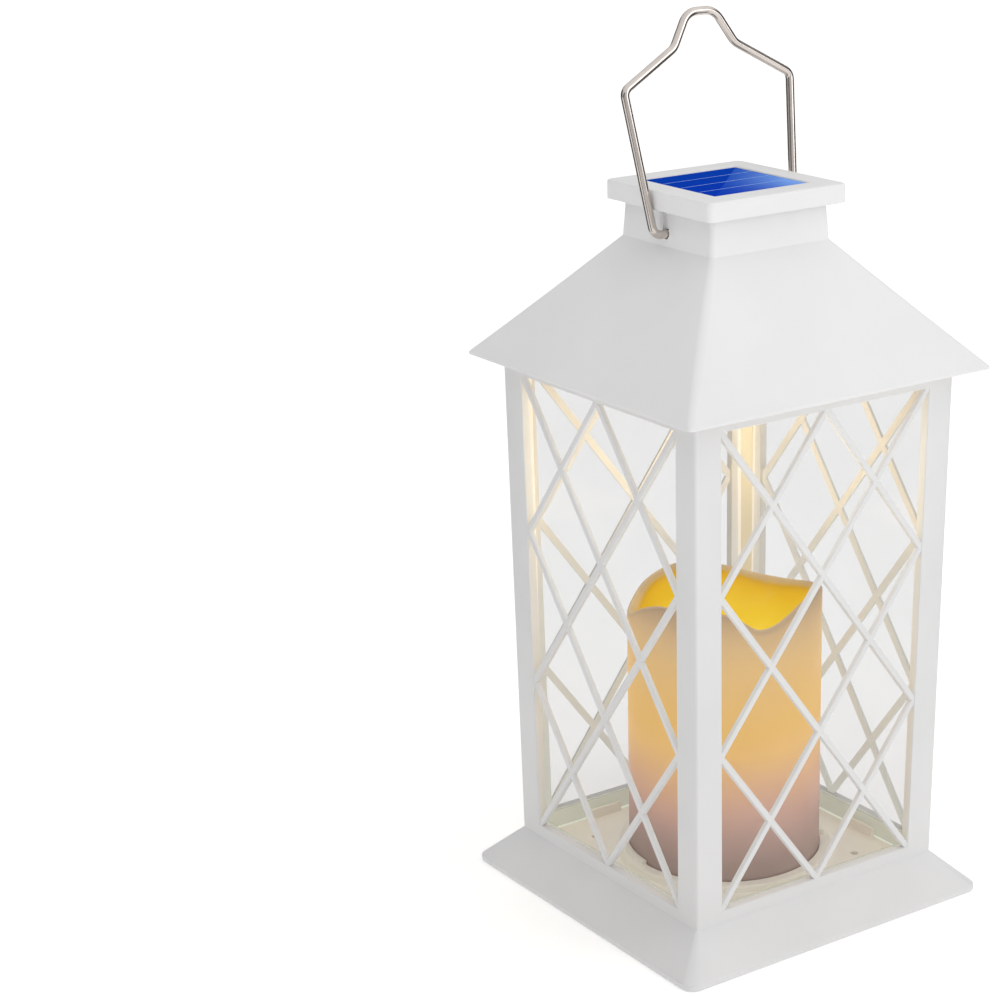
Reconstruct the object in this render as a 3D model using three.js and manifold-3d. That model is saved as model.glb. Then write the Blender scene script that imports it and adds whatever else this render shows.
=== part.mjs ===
// Hanging solar garden lantern with a flameless pillar candle.
// Millimetres, +Z up. Origin at the centre of the base, on the plane it stands on.
// -Y is the front, -X the left side. The wire bail turns about the X direction.

import * as THREE from 'three';
import { mergeVertices } from 'three/addons/utils/BufferGeometryUtils.js';
import Module from 'manifold-3d';

const wasm = await Module();
wasm.setup();

// ---------------------------------------------------------------- dimensions
const GAP = 0.3;              // clearance between pieces that meet

// base
const BASE_HALF = 71.5;       // half width of the base rim
const BASE_CORNER = 5.5;      // plan radius of the rim corners
const RIM_H = 2.3;            // upright part of the rim
const SKIRT_TOP = 15.5;       // where the flared skirt meets the posts
const LIP_HALF = 54.2;        // inner face of the skirt's upper lip

// window frame, with all four faces leaning out a little towards the top
const OPEN_Z0 = 20.35;        // lower edge of a window
const OPEN_Z1 = 205.4;        // upper edge of a window
const FACE_HALF_Z0 = 57.66;   // outer face at OPEN_Z0
const FACE_HALF_Z1 = 60.04;   // outer face at OPEN_Z1
const OPEN_HALF_Z0 = 45.78;   // half width of a window at OPEN_Z0
const OPEN_HALF_Z1 = 48.45;   // half width of a window at OPEN_Z1
const WALL = 3.5;             // thickness of posts and rails
const FRAME_TOP = 211.1;      // top of posts and rails, under the roof

// lattice
const BAR_FRONT = 2.3;        // width of a bar at its outer face
const BAR_BACK = 2.9;         // width of a bar at its inner face
const BAR_SET = 0.35;         // bars sit this far behind the post faces
const BAR_INNER = 2.0;        // depth of the bars' inner face behind the post faces
const PANE_T = 0.8;           // clear window sheet

// roof
const EAVE_HALF = 70.0;
const EAVE_Z = 211.4;
const EAVE_LIP = 1.0;
const NECK_Z0 = 258.7;
const NECK_Z1 = 274.6;
const NECK_HALF_Z0 = 27.64;
const NECK_HALF_Z1 = 26.6;
const SHELL = 2.2;

// solar cap and panel
const CAP_Z0 = 272.4;
const CAP_Z1 = 279.5;
const CAP_HALF = 31.8;
const PANEL_HALF = 21.76;
const PANEL_TOP = 279.2;

// bail
const WIRE = 3.2;
const PIVOT_Z = 263.2;
const BAIL_LEAN = 11 * Math.PI / 180;   // lean towards +Y as it stands

// floor tray and candle
const TRAY_Z0 = 10.5;
const TRAY_Z1 = 12.5;
const TRAY_HALF = 52.8;
const CANDLE_R = 37.7;
const CANDLE_WALL = 2.6;
const CANDLE_Z0 = 12.9;
const COLLAR_IN = 38.1;
const COLLAR_OUT = 42.6;
const COLLAR_Z = 15.0;

// underside
const COVER_Z0 = 3.0;
const COVER_Z1 = 5.0;
const COVER_HALF = 64.2;
const CELL_R = 7.1;
const CELL_LEN = 48.0;
const CELL_Z = 12.6;

// ---------------------------------------------------------------- materials
const mat = (color, roughness, metalness = 0, opacity = 1) =>
  new THREE.MeshStandardMaterial({ color, roughness, metalness, opacity, transparent: opacity < 1 });
const WHITE = mat(0xf2f1f0, 0.45);
const CREAM = mat(0xe6e0cf, 0.5);
const CLEAR = mat(0xe9f2ee, 0.08, 0, 0.25);
const CELLBLUE = mat(0x0b3fc4, 0.12, 0.1);
const STEEL = mat(0xb9b2aa, 0.25, 1.0);
const WAX = mat(0xe0b98a, 0.55);
const BOARD = mat(0x1f6b3a, 0.5);
const AMBER = mat(0xffc14d, 0.15);
const BATT = mat(0x2f8f4e, 0.35, 0.2);
const BLACK = mat(0x1b1b1c, 0.5);
const NICKEL = mat(0xc9c6bf, 0.3, 1.0);
const LEAD = mat(0x8a2320, 0.5);

// ---------------------------------------------------------------- helpers
const group = new THREE.Group();

function signedVolume(pos, idx) {
  let v = 0;
  for (let i = 0; i < idx.length; i += 3) {
    const a = idx[i] * 3, b = idx[i + 1] * 3, c = idx[i + 2] * 3;
    v += pos[a] * (pos[b + 1] * pos[c + 2] - pos[b + 2] * pos[c + 1])
       - pos[a + 1] * (pos[b] * pos[c + 2] - pos[b + 2] * pos[c])
       + pos[a + 2] * (pos[b] * pos[c + 1] - pos[b + 1] * pos[c]);
  }
  return v / 6;
}

function fromArrays(points, tris) {
  const pos = [];
  for (const p of points) pos.push(p[0], p[1], p[2]);
  let idx = tris.flat();
  if (signedVolume(pos, idx) < 0) idx = tris.map((t) => [t[0], t[2], t[1]]).flat();
  const g = new THREE.BufferGeometry();
  g.setAttribute('position', new THREE.Float32BufferAttribute(pos, 3));
  g.setIndex(idx);
  return g;
}

// surface through rings of equal length; either closed into a loop or capped at both ends
function loft(rings, loop = false) {
  const n = rings[0].length;
  const points = rings.flat();
  const tris = [];
  const last = loop ? rings.length : rings.length - 1;
  for (let k = 0; k < last; k++) {
    const a = k * n, b = ((k + 1) % rings.length) * n;
    for (let i = 0; i < n; i++) {
      const j = (i + 1) % n;
      tris.push([a + i, a + j, b + j], [a + i, b + j, b + i]);
    }
  }
  if (!loop) {
    const cap = (ring, base, flip) => {
      const flat = ring.map((p) => new THREE.Vector2(p[0], p[1]));
      const area = THREE.ShapeUtils.area(flat);
      const faces = THREE.ShapeUtils.triangulateShape(area < 0 ? flat.slice().reverse() : flat, []);
      for (const f of faces) {
        let t = area < 0 ? f.map((q) => n - 1 - q) : f;
        if (area < 0) t = [t[0], t[2], t[1]];
        tris.push(flip ? [base + t[0], base + t[2], base + t[1]] : [base + t[0], base + t[1], base + t[2]]);
      }
    };
    cap(rings[0], 0, true);
    cap(rings[rings.length - 1], (rings.length - 1) * n, false);
  }
  return fromArrays(points, tris);
}

// rounded square, counter-clockwise
function square(half, r, z, n = 4, halfY = half) {
  const out = [];
  const c = [[1, 1, 0], [-1, 1, 90], [-1, -1, 180], [1, -1, 270]];
  for (const [sx, sy, a0] of c) {
    for (let i = 0; i <= n; i++) {
      const a = (a0 + (90 * i) / n) * Math.PI / 180;
      out.push([sx * (half - r) + r * Math.cos(a), sy * (halfY - r) + r * Math.sin(a), z]);
    }
  }
  return out;
}

const box = (x0, x1, y0, y1, z0, z1) => {
  const g = new THREE.BoxGeometry(x1 - x0, y1 - y0, z1 - z0);
  g.translate((x0 + x1) / 2, (y0 + y1) / 2, (z0 + z1) / 2);
  return g;
};
const cyl = (r, z0, z1, x = 0, y = 0, n = 24, r2 = r) => {
  const g = new THREE.CylinderGeometry(r2, r, z1 - z0, n);
  g.rotateX(Math.PI / 2);
  g.translate(x, y, (z0 + z1) / 2);
  return g;
};
const cylX = (r, x0, x1, y, z, n = 24) => {
  const g = new THREE.CylinderGeometry(r, r, x1 - x0, n);
  g.rotateZ(-Math.PI / 2);
  g.translate((x0 + x1) / 2, y, z);
  return g;
};
// lathe about Z; the profile is [radius, z] pairs, starting and ending on the axis or closing on itself
const lathe = (profile, n = 32) => {
  const g = new THREE.LatheGeometry(profile.map(([r, z]) => new THREE.Vector2(r, z)), n);
  g.rotateX(Math.PI / 2);
  return g;
};
function tube(points, r, steps, sides = 8, closedCurve = null) {
  const curve = closedCurve || new THREE.CatmullRomCurve3(points.map((p) => new THREE.Vector3(...p)), false, 'centripetal');
  const s = new THREE.Shape();
  for (let i = 0; i < sides; i++) {
    const a = (2 * Math.PI * i) / sides;
    if (i === 0) s.moveTo(r * Math.cos(a), r * Math.sin(a));
    else s.lineTo(r * Math.cos(a), r * Math.sin(a));
  }
  s.closePath();
  return new THREE.ExtrudeGeometry(s, { steps, bevelEnabled: false, extrudePath: curve, curveSegments: sides });
}

function solid(geometry) {
  const g = geometry.clone();
  g.deleteAttribute('normal');
  g.deleteAttribute('uv');
  const m = mergeVertices(g, 1e-4);
  const pos = m.getAttribute('position').array;
  const idx = [];
  const src = m.index.array;
  for (let i = 0; i < src.length; i += 3) {
    if (src[i] !== src[i + 1] && src[i + 1] !== src[i + 2] && src[i] !== src[i + 2]) idx.push(src[i], src[i + 1], src[i + 2]);
  }
  return new wasm.Manifold(new wasm.Mesh({ numProp: 3, vertProperties: new Float32Array(pos), triVerts: new Uint32Array(idx) }));
}
function geometryOf(manifold) {
  const m = manifold.getMesh();
  const g = new THREE.BufferGeometry();
  const n = m.numProp;
  const pos = new Float32Array((m.vertProperties.length / n) * 3);
  for (let i = 0; i < pos.length / 3; i++) {
    pos[3 * i] = m.vertProperties[n * i];
    pos[3 * i + 1] = m.vertProperties[n * i + 1];
    pos[3 * i + 2] = m.vertProperties[n * i + 2];
  }
  g.setAttribute('position', new THREE.BufferAttribute(pos, 3));
  g.setIndex(new THREE.BufferAttribute(new Uint32Array(m.triVerts), 1));
  return g;
}
const join = (...gs) => gs.map((g) => (g.isBufferGeometry ? solid(g) : g)).reduce((a, b) => a.add(b));
const cut = (a, ...gs) => gs.map((g) => (g.isBufferGeometry ? solid(g) : g))
  .reduce((m, b) => m.subtract(b), a.isBufferGeometry ? solid(a) : a);

function piece(name, geometry, material, parent = group) {
  const g = geometry.isBufferGeometry ? geometry : geometryOf(geometry);
  if (!g.getAttribute('normal')) g.computeVertexNormals();
  const mesh = new THREE.Mesh(g, material);
  mesh.name = name;
  parent.add(mesh);
  return mesh;
}

const lerp = (a, b, t) => a + (b - a) * t;
const faceHalf = (z) => lerp(FACE_HALF_Z0, FACE_HALF_Z1, (z - OPEN_Z0) / (OPEN_Z1 - OPEN_Z0));
const openHalf = (z) => lerp(OPEN_HALF_Z0, OPEN_HALF_Z1, (z - OPEN_Z0) / (OPEN_Z1 - OPEN_Z0));

// ---------------------------------------------------------------- base skirt
{
  const rows = [
    [BASE_HALF - 0.5, 0, BASE_CORNER - 0.5], [BASE_HALF, 0.6, BASE_CORNER], [BASE_HALF, RIM_H, BASE_CORNER],
    [BASE_HALF - 0.7, RIM_H + 0.7, BASE_CORNER - 0.4],
    [57.7, SKIRT_TOP, 1.4], [LIP_HALF, SKIRT_TOP, 1.2], [LIP_HALF, 10.2, 1.2],
    [55.9, 10.2, 1.4], [55.9, 13.5, 1.4], [68.4, 2.2, 3.6], [68.8, 0, 3.8],
  ];
  piece('base_skirt', loft(rows.map(([h, z, r]) => square(h, r, z, 4)), true), WHITE);
}

// ---------------------------------------------------------------- corner posts
const POSTS = { post_rear_right: [1, 1], post_rear_left: [-1, 1], post_front_left: [-1, -1], post_front_right: [1, -1] };
for (const [name, [sx, sy]] of Object.entries(POSTS)) {
  const ring = (z) => {
    const w = faceHalf(z), o = openHalf(z), t = w - WALL, r = 0.9;
    const pts = [[o, w], [o, t], [t, t], [t, o], [w, o]];
    for (let i = 0; i <= 3; i++) {
      const a = (90 * i / 3) * Math.PI / 180;
      pts.push([w - r + r * Math.cos(a), w - r + r * Math.sin(a)]);
    }
    return pts.map(([x, y]) => [sx * x, sy * y, z]);
  };
  piece(name, loft([ring(SKIRT_TOP + GAP), ring(FRAME_TOP)]), WHITE);
}

// ---------------------------------------------------------------- lattice screens and window panes
const LEAN = Math.atan((FACE_HALF_Z1 - FACE_HALF_Z0) / (OPEN_Z1 - OPEN_Z0));
const RUN = (OPEN_Z1 - OPEN_Z0) / Math.cos(LEAN);      // window height along the face

// one bar from a to b in the face plane (x across, z up), y inwards
function bar(a, b) {
  const d = new THREE.Vector2(b[0] - a[0], b[1] - a[1]);
  const len = d.length();
  d.normalize();
  const nx = -d.y, nz = d.x;
  const over = 6;
  const p0 = [a[0] - d.x * over, a[1] - d.y * over];
  const p1 = [b[0] + d.x * over, b[1] + d.y * over];
  const section = [[-BAR_BACK / 2, BAR_INNER], [-BAR_FRONT / 2, BAR_SET], [BAR_FRONT / 2, BAR_SET], [BAR_BACK / 2, BAR_INNER]];
  const ringAt = (p) => section.map(([s, y]) => [p[0] + nx * s, y, p[1] + nz * s]);
  const A = ringAt(p0), B = ringAt(p1);
  const pts = A.concat(B);
  const tris = [];
  for (let i = 0; i < 4; i++) {
    const j = (i + 1) % 4;
    tris.push([i, j, 4 + j], [i, 4 + j, 4 + i]);
  }
  tris.push([0, 2, 1], [0, 3, 2], [4, 5, 6], [4, 6, 7]);
  return fromArrays(pts, tris);
}

function screenGeometry() {
  const X = (s, t) => s * lerp(OPEN_HALF_Z0, OPEN_HALF_Z1, t);
  const P = (s, t) => [X(s, t), t * RUN];
  const lines = [];
  for (const m of [1, -1]) {
    lines.push([P(-m, 1), P(m, 1 / 3)], [P(-m, 2 / 3), P(m, 0)], [P(-m, 1 / 3), P(0, 0)], [P(0, 1), P(m, 2 / 3)]);
  }
  let g = null;
  for (const [a, b] of lines) {
    const s = solid(bar(a, b));
    g = g ? g.add(s) : s;
  }
  const zb = (SKIRT_TOP + GAP - OPEN_Z0) / Math.cos(LEAN) + 0.05;
  const zt = (FRAME_TOP - OPEN_Z0) / Math.cos(LEAN) - 0.05;
  g = g.add(solid(box(-60, 60, 0, WALL, zb, 0)));
  g = g.add(solid(box(-60, 60, 0, WALL, RUN, zt)));
  // trimmed to the space between two posts
  const tb = zb / RUN, tt = zt / RUN;
  const xb = Math.abs(X(1, tb)) - GAP, xt = X(1, tt) - GAP;
  const outline = [[-xb, zb], [xb, zb], [xt, zt], [-xt, zt]];
  const pts = [], tris = [];
  for (const y of [-1, WALL]) for (const [x, z] of outline) pts.push([x, y, z]);
  for (let i = 0; i < 4; i++) {
    const j = (i + 1) % 4;
    tris.push([i, j, 4 + j], [i, 4 + j, 4 + i]);
  }
  tris.push([0, 2, 1], [0, 3, 2], [4, 5, 6], [4, 6, 7]);
  g = g.intersect(solid(fromArrays(pts, tris)));
  return geometryOf(g);
}

const SIDES = { front: 0, right: 1, rear: 2, left: 3 };
const screen = screenGeometry();
for (const [side, k] of Object.entries(SIDES)) {
  const turn = new THREE.Group();
  turn.rotation.z = k * Math.PI / 2;
  const face = new THREE.Group();
  face.position.set(0, -FACE_HALF_Z0, OPEN_Z0);
  face.rotation.x = LEAN;
  turn.add(face);
  group.add(turn);
  piece('lattice_screen_' + side, screen.clone(), WHITE, face);
  piece('window_pane_' + side, box(-49.8, 49.8, WALL + GAP, WALL + GAP + PANE_T, -7.2, 188.4), CLEAR, face);
}

// ---------------------------------------------------------------- top flange, roof and its screws
const ROOF_BOSS = 50.0;
const ROOF_CORNERS = { rear_right: [1, 1], rear_left: [-1, 1], front_left: [-1, -1], front_right: [1, -1] };
{
  const rows = [[55.6, 209.2, 1.0], [55.6, FRAME_TOP, 1.0], [46.0, FRAME_TOP, 3.0], [46.0, 209.2, 3.0]];
  let g = solid(loft(rows.map(([h, z, r]) => square(h, r, z, 4)), true));
  for (const [sx, sy] of Object.values(ROOF_CORNERS)) g = g.subtract(solid(cyl(1.7, 208, 212, sx * ROOF_BOSS, sy * ROOF_BOSS, 16)));
  g = g.subtract(solid(box(53.0, 60, 53.0, 60, 208, 212)));
  piece('top_flange', g, WHITE);
}
{
  const slope = (NECK_Z0 - EAVE_Z - EAVE_LIP) / (EAVE_HALF - NECK_HALF_Z0);
  const t = SHELL * Math.hypot(1, slope);               // vertical thickness of the sloping wall
  const inEave = EAVE_HALF - (t / slope) + 0.0;
  const rows = [
    [EAVE_HALF, EAVE_Z, 2.2], [EAVE_HALF, EAVE_Z + EAVE_LIP, 2.2],
    [lerp(EAVE_HALF, NECK_HALF_Z0, 0.5), lerp(EAVE_Z + EAVE_LIP, NECK_Z0, 0.5), 2.8],
    [NECK_HALF_Z0, NECK_Z0, 2.2], [NECK_HALF_Z1, NECK_Z1, 2.2],
    [NECK_HALF_Z1 - SHELL, NECK_Z1, 1.2], [NECK_HALF_Z0 - SHELL, NECK_Z0 - 1.1, 1.2],
    [inEave, EAVE_Z + EAVE_LIP, 1.4], [inEave, EAVE_Z, 1.4],
  ];
  let g = solid(loft(rows.map(([h, z, r]) => square(h, r, z, 3)), true));
  // bail holes through the left and right neck walls
  g = g.subtract(solid(cylX(WIRE / 2 + 0.25, -32, 32, 0, PIVOT_Z, 16)));
  // screw bosses under the slope
  for (const [sx, sy] of Object.values(ROOF_CORNERS)) {
    const top = EAVE_Z + EAVE_LIP + (EAVE_HALF - (ROOF_BOSS + 4.2)) * slope - 1.0;
    g = g.add(solid(cyl(3.4, EAVE_Z, top, sx * ROOF_BOSS, sy * ROOF_BOSS, 12)));
    g = g.subtract(solid(cyl(1.15, EAVE_Z - 1, EAVE_Z + 11, sx * ROOF_BOSS, sy * ROOF_BOSS, 8)));
  }
  piece('roof_shell', g, WHITE);
}

// pan-head self-tapping screw, head down, tip up; cross recess in the head
function screw(headR, headH, shankR, shankL) {
  const g = solid(lathe([[0, -headH], [headR * 0.6, -headH], [headR, -headH * 0.45], [headR, 0], [shankR, 0], [shankR, shankL - 1], [0, shankL]], 12));
  const w = 0.35, l = headR * 0.62, d = headH * 0.55;
  return g.subtract(solid(box(-l, l, -w, w, -headH - 1, -headH + d))).subtract(solid(box(-w, w, -l, l, -headH - 1, -headH + d)));
}
for (const [name, [sx, sy]] of Object.entries(ROOF_CORNERS)) {
  const m = piece('roof_screw_' + name, screw(2.9, 1.8, 0.95, 10), NICKEL);
  m.position.set(sx * ROOF_BOSS, sy * ROOF_BOSS, 209.2 - 0.1);
}

// ---------------------------------------------------------------- solar cap and panel
{
  const rows = [
    [CAP_HALF, CAP_Z0, 2.4], [CAP_HALF, CAP_Z1 - 0.9, 2.4], [CAP_HALF - 0.9, CAP_Z1, 1.8],
    [PANEL_HALF + GAP, CAP_Z1, 0.4], [PANEL_HALF + GAP, 276.2, 0.4], [8, 276.2, 1],
    [8, 274.9, 1], [28.9, 274.9, 1.6], [28.9, CAP_Z0, 1.6],
  ];
  piece('solar_cap', loft(rows.map(([h, z, r]) => square(h, r, z, 3)), true), WHITE);
  piece('solar_panel', loft([square(PANEL_HALF, 0.4, 276.5, 2), square(PANEL_HALF, 0.4, PANEL_TOP, 2)]), CELLBLUE);
}

// ---------------------------------------------------------------- bail
{
  // half outline in the bail's own plane: x across, s along the plane from the pivot
  const corners = [
    [23.0, 0, 0], [32.7, 0, 3.4], [38.25, 52.3, 3.4], [14.0, 65.6, 6.0], [6.2, 78.2, 7.0],
  ];
  const pts = corners.map(([x, s, r]) => [x, s, r]);
  const full = pts.concat(pts.slice().reverse().map(([x, s, r]) => [-x, s, r]));
  const at = ([x, s]) => new THREE.Vector3(x, s * Math.sin(BAIL_LEAN), s * Math.cos(BAIL_LEAN));
  const path = new THREE.CurvePath();
  let prev = at(full[0]);
  for (let i = 1; i < full.length - 1; i++) {
    const c = at(full[i]), n = at(full[i + 1]), p = at(full[i - 1]);
    const d0 = p.clone().sub(c).normalize(), d1 = n.clone().sub(c).normalize();
    const ang = Math.acos(THREE.MathUtils.clamp(d0.dot(d1), -1, 1));
    const want = full[i][2] / Math.tan(ang / 2);
    const lim = 0.49 * Math.min(p.distanceTo(c), n.distanceTo(c));
    const tlen = Math.min(want, lim);
    const a = c.clone().addScaledVector(d0, tlen), b = c.clone().addScaledVector(d1, tlen);
    path.add(new THREE.LineCurve3(prev, a));
    path.add(new THREE.QuadraticBezierCurve3(a, c, b));
    prev = b;
  }
  path.add(new THREE.LineCurve3(prev, at(full[full.length - 1])));
  const m = piece('handle_bail', tube(null, WIRE / 2, 84, 8, path), STEEL);
  m.position.set(0, 0, PIVOT_Z);
}

// ---------------------------------------------------------------- floor tray
{
  let g = solid(loft([
    square(TRAY_HALF, 2, TRAY_Z0, 3), square(TRAY_HALF, 2, TRAY_Z1, 3),
  ]));
  g = g.subtract(solid(cyl(35.6, 5, 20, 0, 0, 36)));
  g = g.add(solid(lathe([[COLLAR_IN, TRAY_Z0 + 0.5], [COLLAR_OUT + 0.5, TRAY_Z0 + 0.5], [COLLAR_OUT, COLLAR_Z], [COLLAR_IN, COLLAR_Z], [COLLAR_IN, TRAY_Z0 + 0.5]], 36)));
  // two taller collar segments opposite one another
  for (const a0 of [150, -30]) {
    const s = new THREE.Shape();
    const n = 5;
    for (let i = 0; i <= n; i++) {
      const a = (a0 + 30 * i / n) * Math.PI / 180;
      if (i === 0) s.moveTo(COLLAR_IN * Math.cos(a), COLLAR_IN * Math.sin(a));
      else s.lineTo(COLLAR_IN * Math.cos(a), COLLAR_IN * Math.sin(a));
    }
    for (let i = n; i >= 0; i--) {
      const a = (a0 + 30 * i / n) * Math.PI / 180;
      s.lineTo((COLLAR_IN + 2.2) * Math.cos(a), (COLLAR_IN + 2.2) * Math.sin(a));
    }
    s.closePath();
    const e = new THREE.ExtrudeGeometry(s, { depth: 3.2, bevelEnabled: false });
    e.translate(0, 0, COLLAR_Z - 1.4);
    g = g.add(solid(e));
  }
  // pane clips along each side
  for (let k = 0; k < 4; k++) {
    for (const c of [-22, 22]) {
      const b = box(c - 8.5, c + 8.5, 51.1, 52.5, TRAY_Z1 - 0.5, TRAY_Z1 + 4);
      b.rotateZ(k * Math.PI / 2);
      g = g.add(solid(b));
    }
  }
  // screw bosses for the bottom cover, drain holes and the lead hole
  for (const [sx, sy] of Object.values(ROOF_CORNERS)) {
    g = g.add(solid(cyl(3.6, COVER_Z1 + GAP, TRAY_Z0 + 0.5, sx * 45, sy * 45, 16)));
    g = g.subtract(solid(cyl(1.2, COVER_Z1, TRAY_Z1 - 1.0, sx * 45, sy * 45, 12)));
    g = g.subtract(solid(cyl(1.6, 9, 13.5, sx * 36.5, sy * 37, 12)));
  }
  g = g.subtract(solid(cyl(2.2, 9, 13.5, 50.0, 50.0, 12)));
  piece('floor_tray', g, CREAM);
}

// ---------------------------------------------------------------- candle shell
{
  // height of the melted rim by bearing, degrees from +X
  const rim = [[-158, 124.0], [-141, 123.9], [-131, 124.0], [-122, 122.6], [-115, 119.6], [-108, 117.0], [-98, 117.6], [-88, 120.4], [-75, 123.8], [-58, 125.4], [-40, 123.2],
    [-14, 119.0], [11, 115.8], [33, 115.8], [53, 118.4], [66, 119.6], [84, 120.8], [108, 118.0], [128, 113.6], [146, 112.6], [160, 115.4], [176, 120.6], [190, 123.6]];
  const rimAt = (deg) => {
    let d = deg;
    while (d < -158) d += 360;
    while (d >= 202) d -= 360;
    const tab = rim.concat([[202, 124.0]]);
    for (let i = 0; i < tab.length - 1; i++) {
      if (d >= tab[i][0] && d <= tab[i + 1][0]) {
        const t = (d - tab[i][0]) / (tab[i + 1][0] - tab[i][0]);
        const s = t * t * (3 - 2 * t);
        return lerp(tab[i][1], tab[i + 1][1], s);
      }
    }
    return 120;
  };
  const n = 36;
  const dipZ = 101.0;
  const ringOf = (rFn, zFn) => {
    const out = [];
    for (let i = 0; i < n; i++) {
      const deg = (360 * i) / n, a = deg * Math.PI / 180;
      out.push([rFn(deg) * Math.cos(a), rFn(deg) * Math.sin(a), zFn(deg)]);
    }
    return out;
  };
  const R = CANDLE_R, r = CANDLE_R - CANDLE_WALL;
  const rings = [
    ringOf(() => r, () => CANDLE_Z0), ringOf(() => R, () => CANDLE_Z0), ringOf(() => R, (d) => rimAt(d) - 2.2),
    ringOf(() => R - 1.0, (d) => rimAt(d) - 0.3), ringOf(() => R - 2.4, (d) => rimAt(d) - 0.6),
    ringOf(() => R - 4.2, (d) => lerp(dipZ, rimAt(d), 0.72)), ringOf(() => 26, (d) => lerp(dipZ, rimAt(d), 0.22)),
    ringOf(() => 14, () => dipZ), ringOf(() => 3, () => dipZ - 0.8),
  ];
  // inside: under the crater and back down the wall
  const inner = [
    ringOf(() => 3, () => dipZ - 3.4), ringOf(() => 15, () => dipZ - 2.8), ringOf(() => 27, (d) => lerp(dipZ, rimAt(d), 0.22) - 3.0),
    ringOf(() => r, (d) => lerp(dipZ, rimAt(d), 0.4) - 3.0),
  ];
  // surfaces are joined as two stacks with closed centres
  const top = rings, pts = [], tris = [];
  const all = top.concat(inner);
  for (const ringPts of all) pts.push(...ringPts);
  const strip = (a, b) => {
    for (let i = 0; i < n; i++) {
      const j = (i + 1) % n;
      tris.push([a * n + i, a * n + j, b * n + j], [a * n + i, b * n + j, b * n + i]);
    }
  };
  for (let k = 0; k < top.length - 1; k++) strip(k, k + 1);
  // centre discs
  const c1 = pts.length; pts.push([0, 0, dipZ - 0.8]);
  const c2 = pts.length; pts.push([0, 0, dipZ - 3.4]);
  const k1 = top.length - 1, k2 = top.length;
  for (let i = 0; i < n; i++) {
    const j = (i + 1) % n;
    tris.push([k1 * n + i, k1 * n + j, c1]);
    tris.push([c2, k2 * n + j, k2 * n + i]);
  }
  for (let k = k2; k < all.length - 1; k++) strip(k, k + 1);
  strip(all.length - 1, 0);
  piece('candle_shell', fromArrays(pts, tris), WAX);
}

// ---------------------------------------------------------------- candle light
piece('led_stand', lathe([[0, 22.2], [9, 22.2], [9, 24.0], [4.2, 25.0], [3.4, 76.0], [6.5, 79.0], [6.5, 80.5], [0, 80.5]], 24), CREAM);
piece('led_board', lathe([[0, 80.8], [9.5, 80.8], [9.5, 82.2], [0, 82.2]], 24), BOARD);
piece('candle_led', lathe([[0, 82.5], [2.9, 82.5], [2.9, 83.6], [2.5, 83.6], [2.5, 88.6], [2.2, 89.9], [1.4, 90.8], [0, 91.2]], 20), AMBER);

// ---------------------------------------------------------------- bottom cover with the battery box
const DOOR = { x0: -28.0, x1: 36.0, y: 8.9 };
const COVER_SCREW = 45;
{
  let g = solid(loft([square(COVER_HALF, 4, COVER_Z0, 4), square(COVER_HALF, 4, COVER_Z1, 4)]));
  g = g.add(solid(box(-29.8, 29.8, -9.8, 9.8, COVER_Z0 + 1, 21.6)));
  // door seat, cell space
  g = g.subtract(solid(box(DOOR.x0 - GAP, DOOR.x1 + GAP, -DOOR.y - GAP, DOOR.y + GAP, COVER_Z0 - 1, COVER_Z0 + 1.7)));
  g = g.subtract(solid(box(-28.2, 28.2, -8.2, 8.2, COVER_Z0 - 1, 20.1)));
  // boss for the door screw
  g = g.add(solid(cyl(2.9, COVER_Z0 + 1.7, 9.6, 32.9, 0, 20)));
  g = g.subtract(solid(cyl(1.0, COVER_Z0, 9.0, 32.9, 0, 12)));
  // switch window and cover screw holes
  g = g.subtract(solid(box(-3.6, 3.6, -26.2, -21.8, COVER_Z0 - 1, COVER_Z0 + 1.0)));
  g = g.subtract(solid(box(-3.3, 3.3, -25.2, -22.8, COVER_Z0 - 1, COVER_Z1 + 1)));
  for (const [sx, sy] of Object.values(ROOF_CORNERS)) {
    g = g.subtract(solid(cyl(1.6, COVER_Z0 - 1, COVER_Z1 + 1, sx * COVER_SCREW, sy * COVER_SCREW, 12)));
    g = g.subtract(solid(cyl(3.3, COVER_Z0 - 1, COVER_Z0 + 0.9, sx * COVER_SCREW, sy * COVER_SCREW, 16)));
  }
  // board standoffs
  for (const x of [-13, 13]) g = g.add(solid(cyl(1.8, COVER_Z1 - 0.5, 5.9, x, 25, 12)));
  piece('bottom_cover', g, WHITE);
}
{
  let g = solid(loft([square(32, 1.5, COVER_Z0, 3, DOOR.y), square(32, 1.5, COVER_Z0 + 1.4, 3, DOOR.y)]));
  g = g.translate([4, 0, 0]);
  g = g.subtract(solid(cyl(1.5, COVER_Z0 - 1, COVER_Z0 + 3, 32.9, 0, 16)));
  g = g.subtract(solid(cyl(2.6, COVER_Z0 - 1, COVER_Z0 + 0.5, 32.9, 0, 20)));
  // finger grooves
  for (const x of [-22, -19.5, -17]) g = g.subtract(solid(box(x - 0.5, x + 0.5, -5, 5, COVER_Z0 - 1, COVER_Z0 + 0.5)));
  piece('battery_door', g, WHITE);
}
{
  const m = piece('battery_door_screw', screw(2.2, 1.3, 0.8, 5.2), NICKEL);
  m.position.set(32.9, 0, COVER_Z0 + 0.35);
}
for (const [name, [sx, sy]] of Object.entries(ROOF_CORNERS)) {
  const m = piece('cover_screw_' + name, screw(2.8, 1.5, 1.0, 7), NICKEL);
  m.position.set(sx * COVER_SCREW, sy * COVER_SCREW, COVER_Z0 + 0.75);
}

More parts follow.
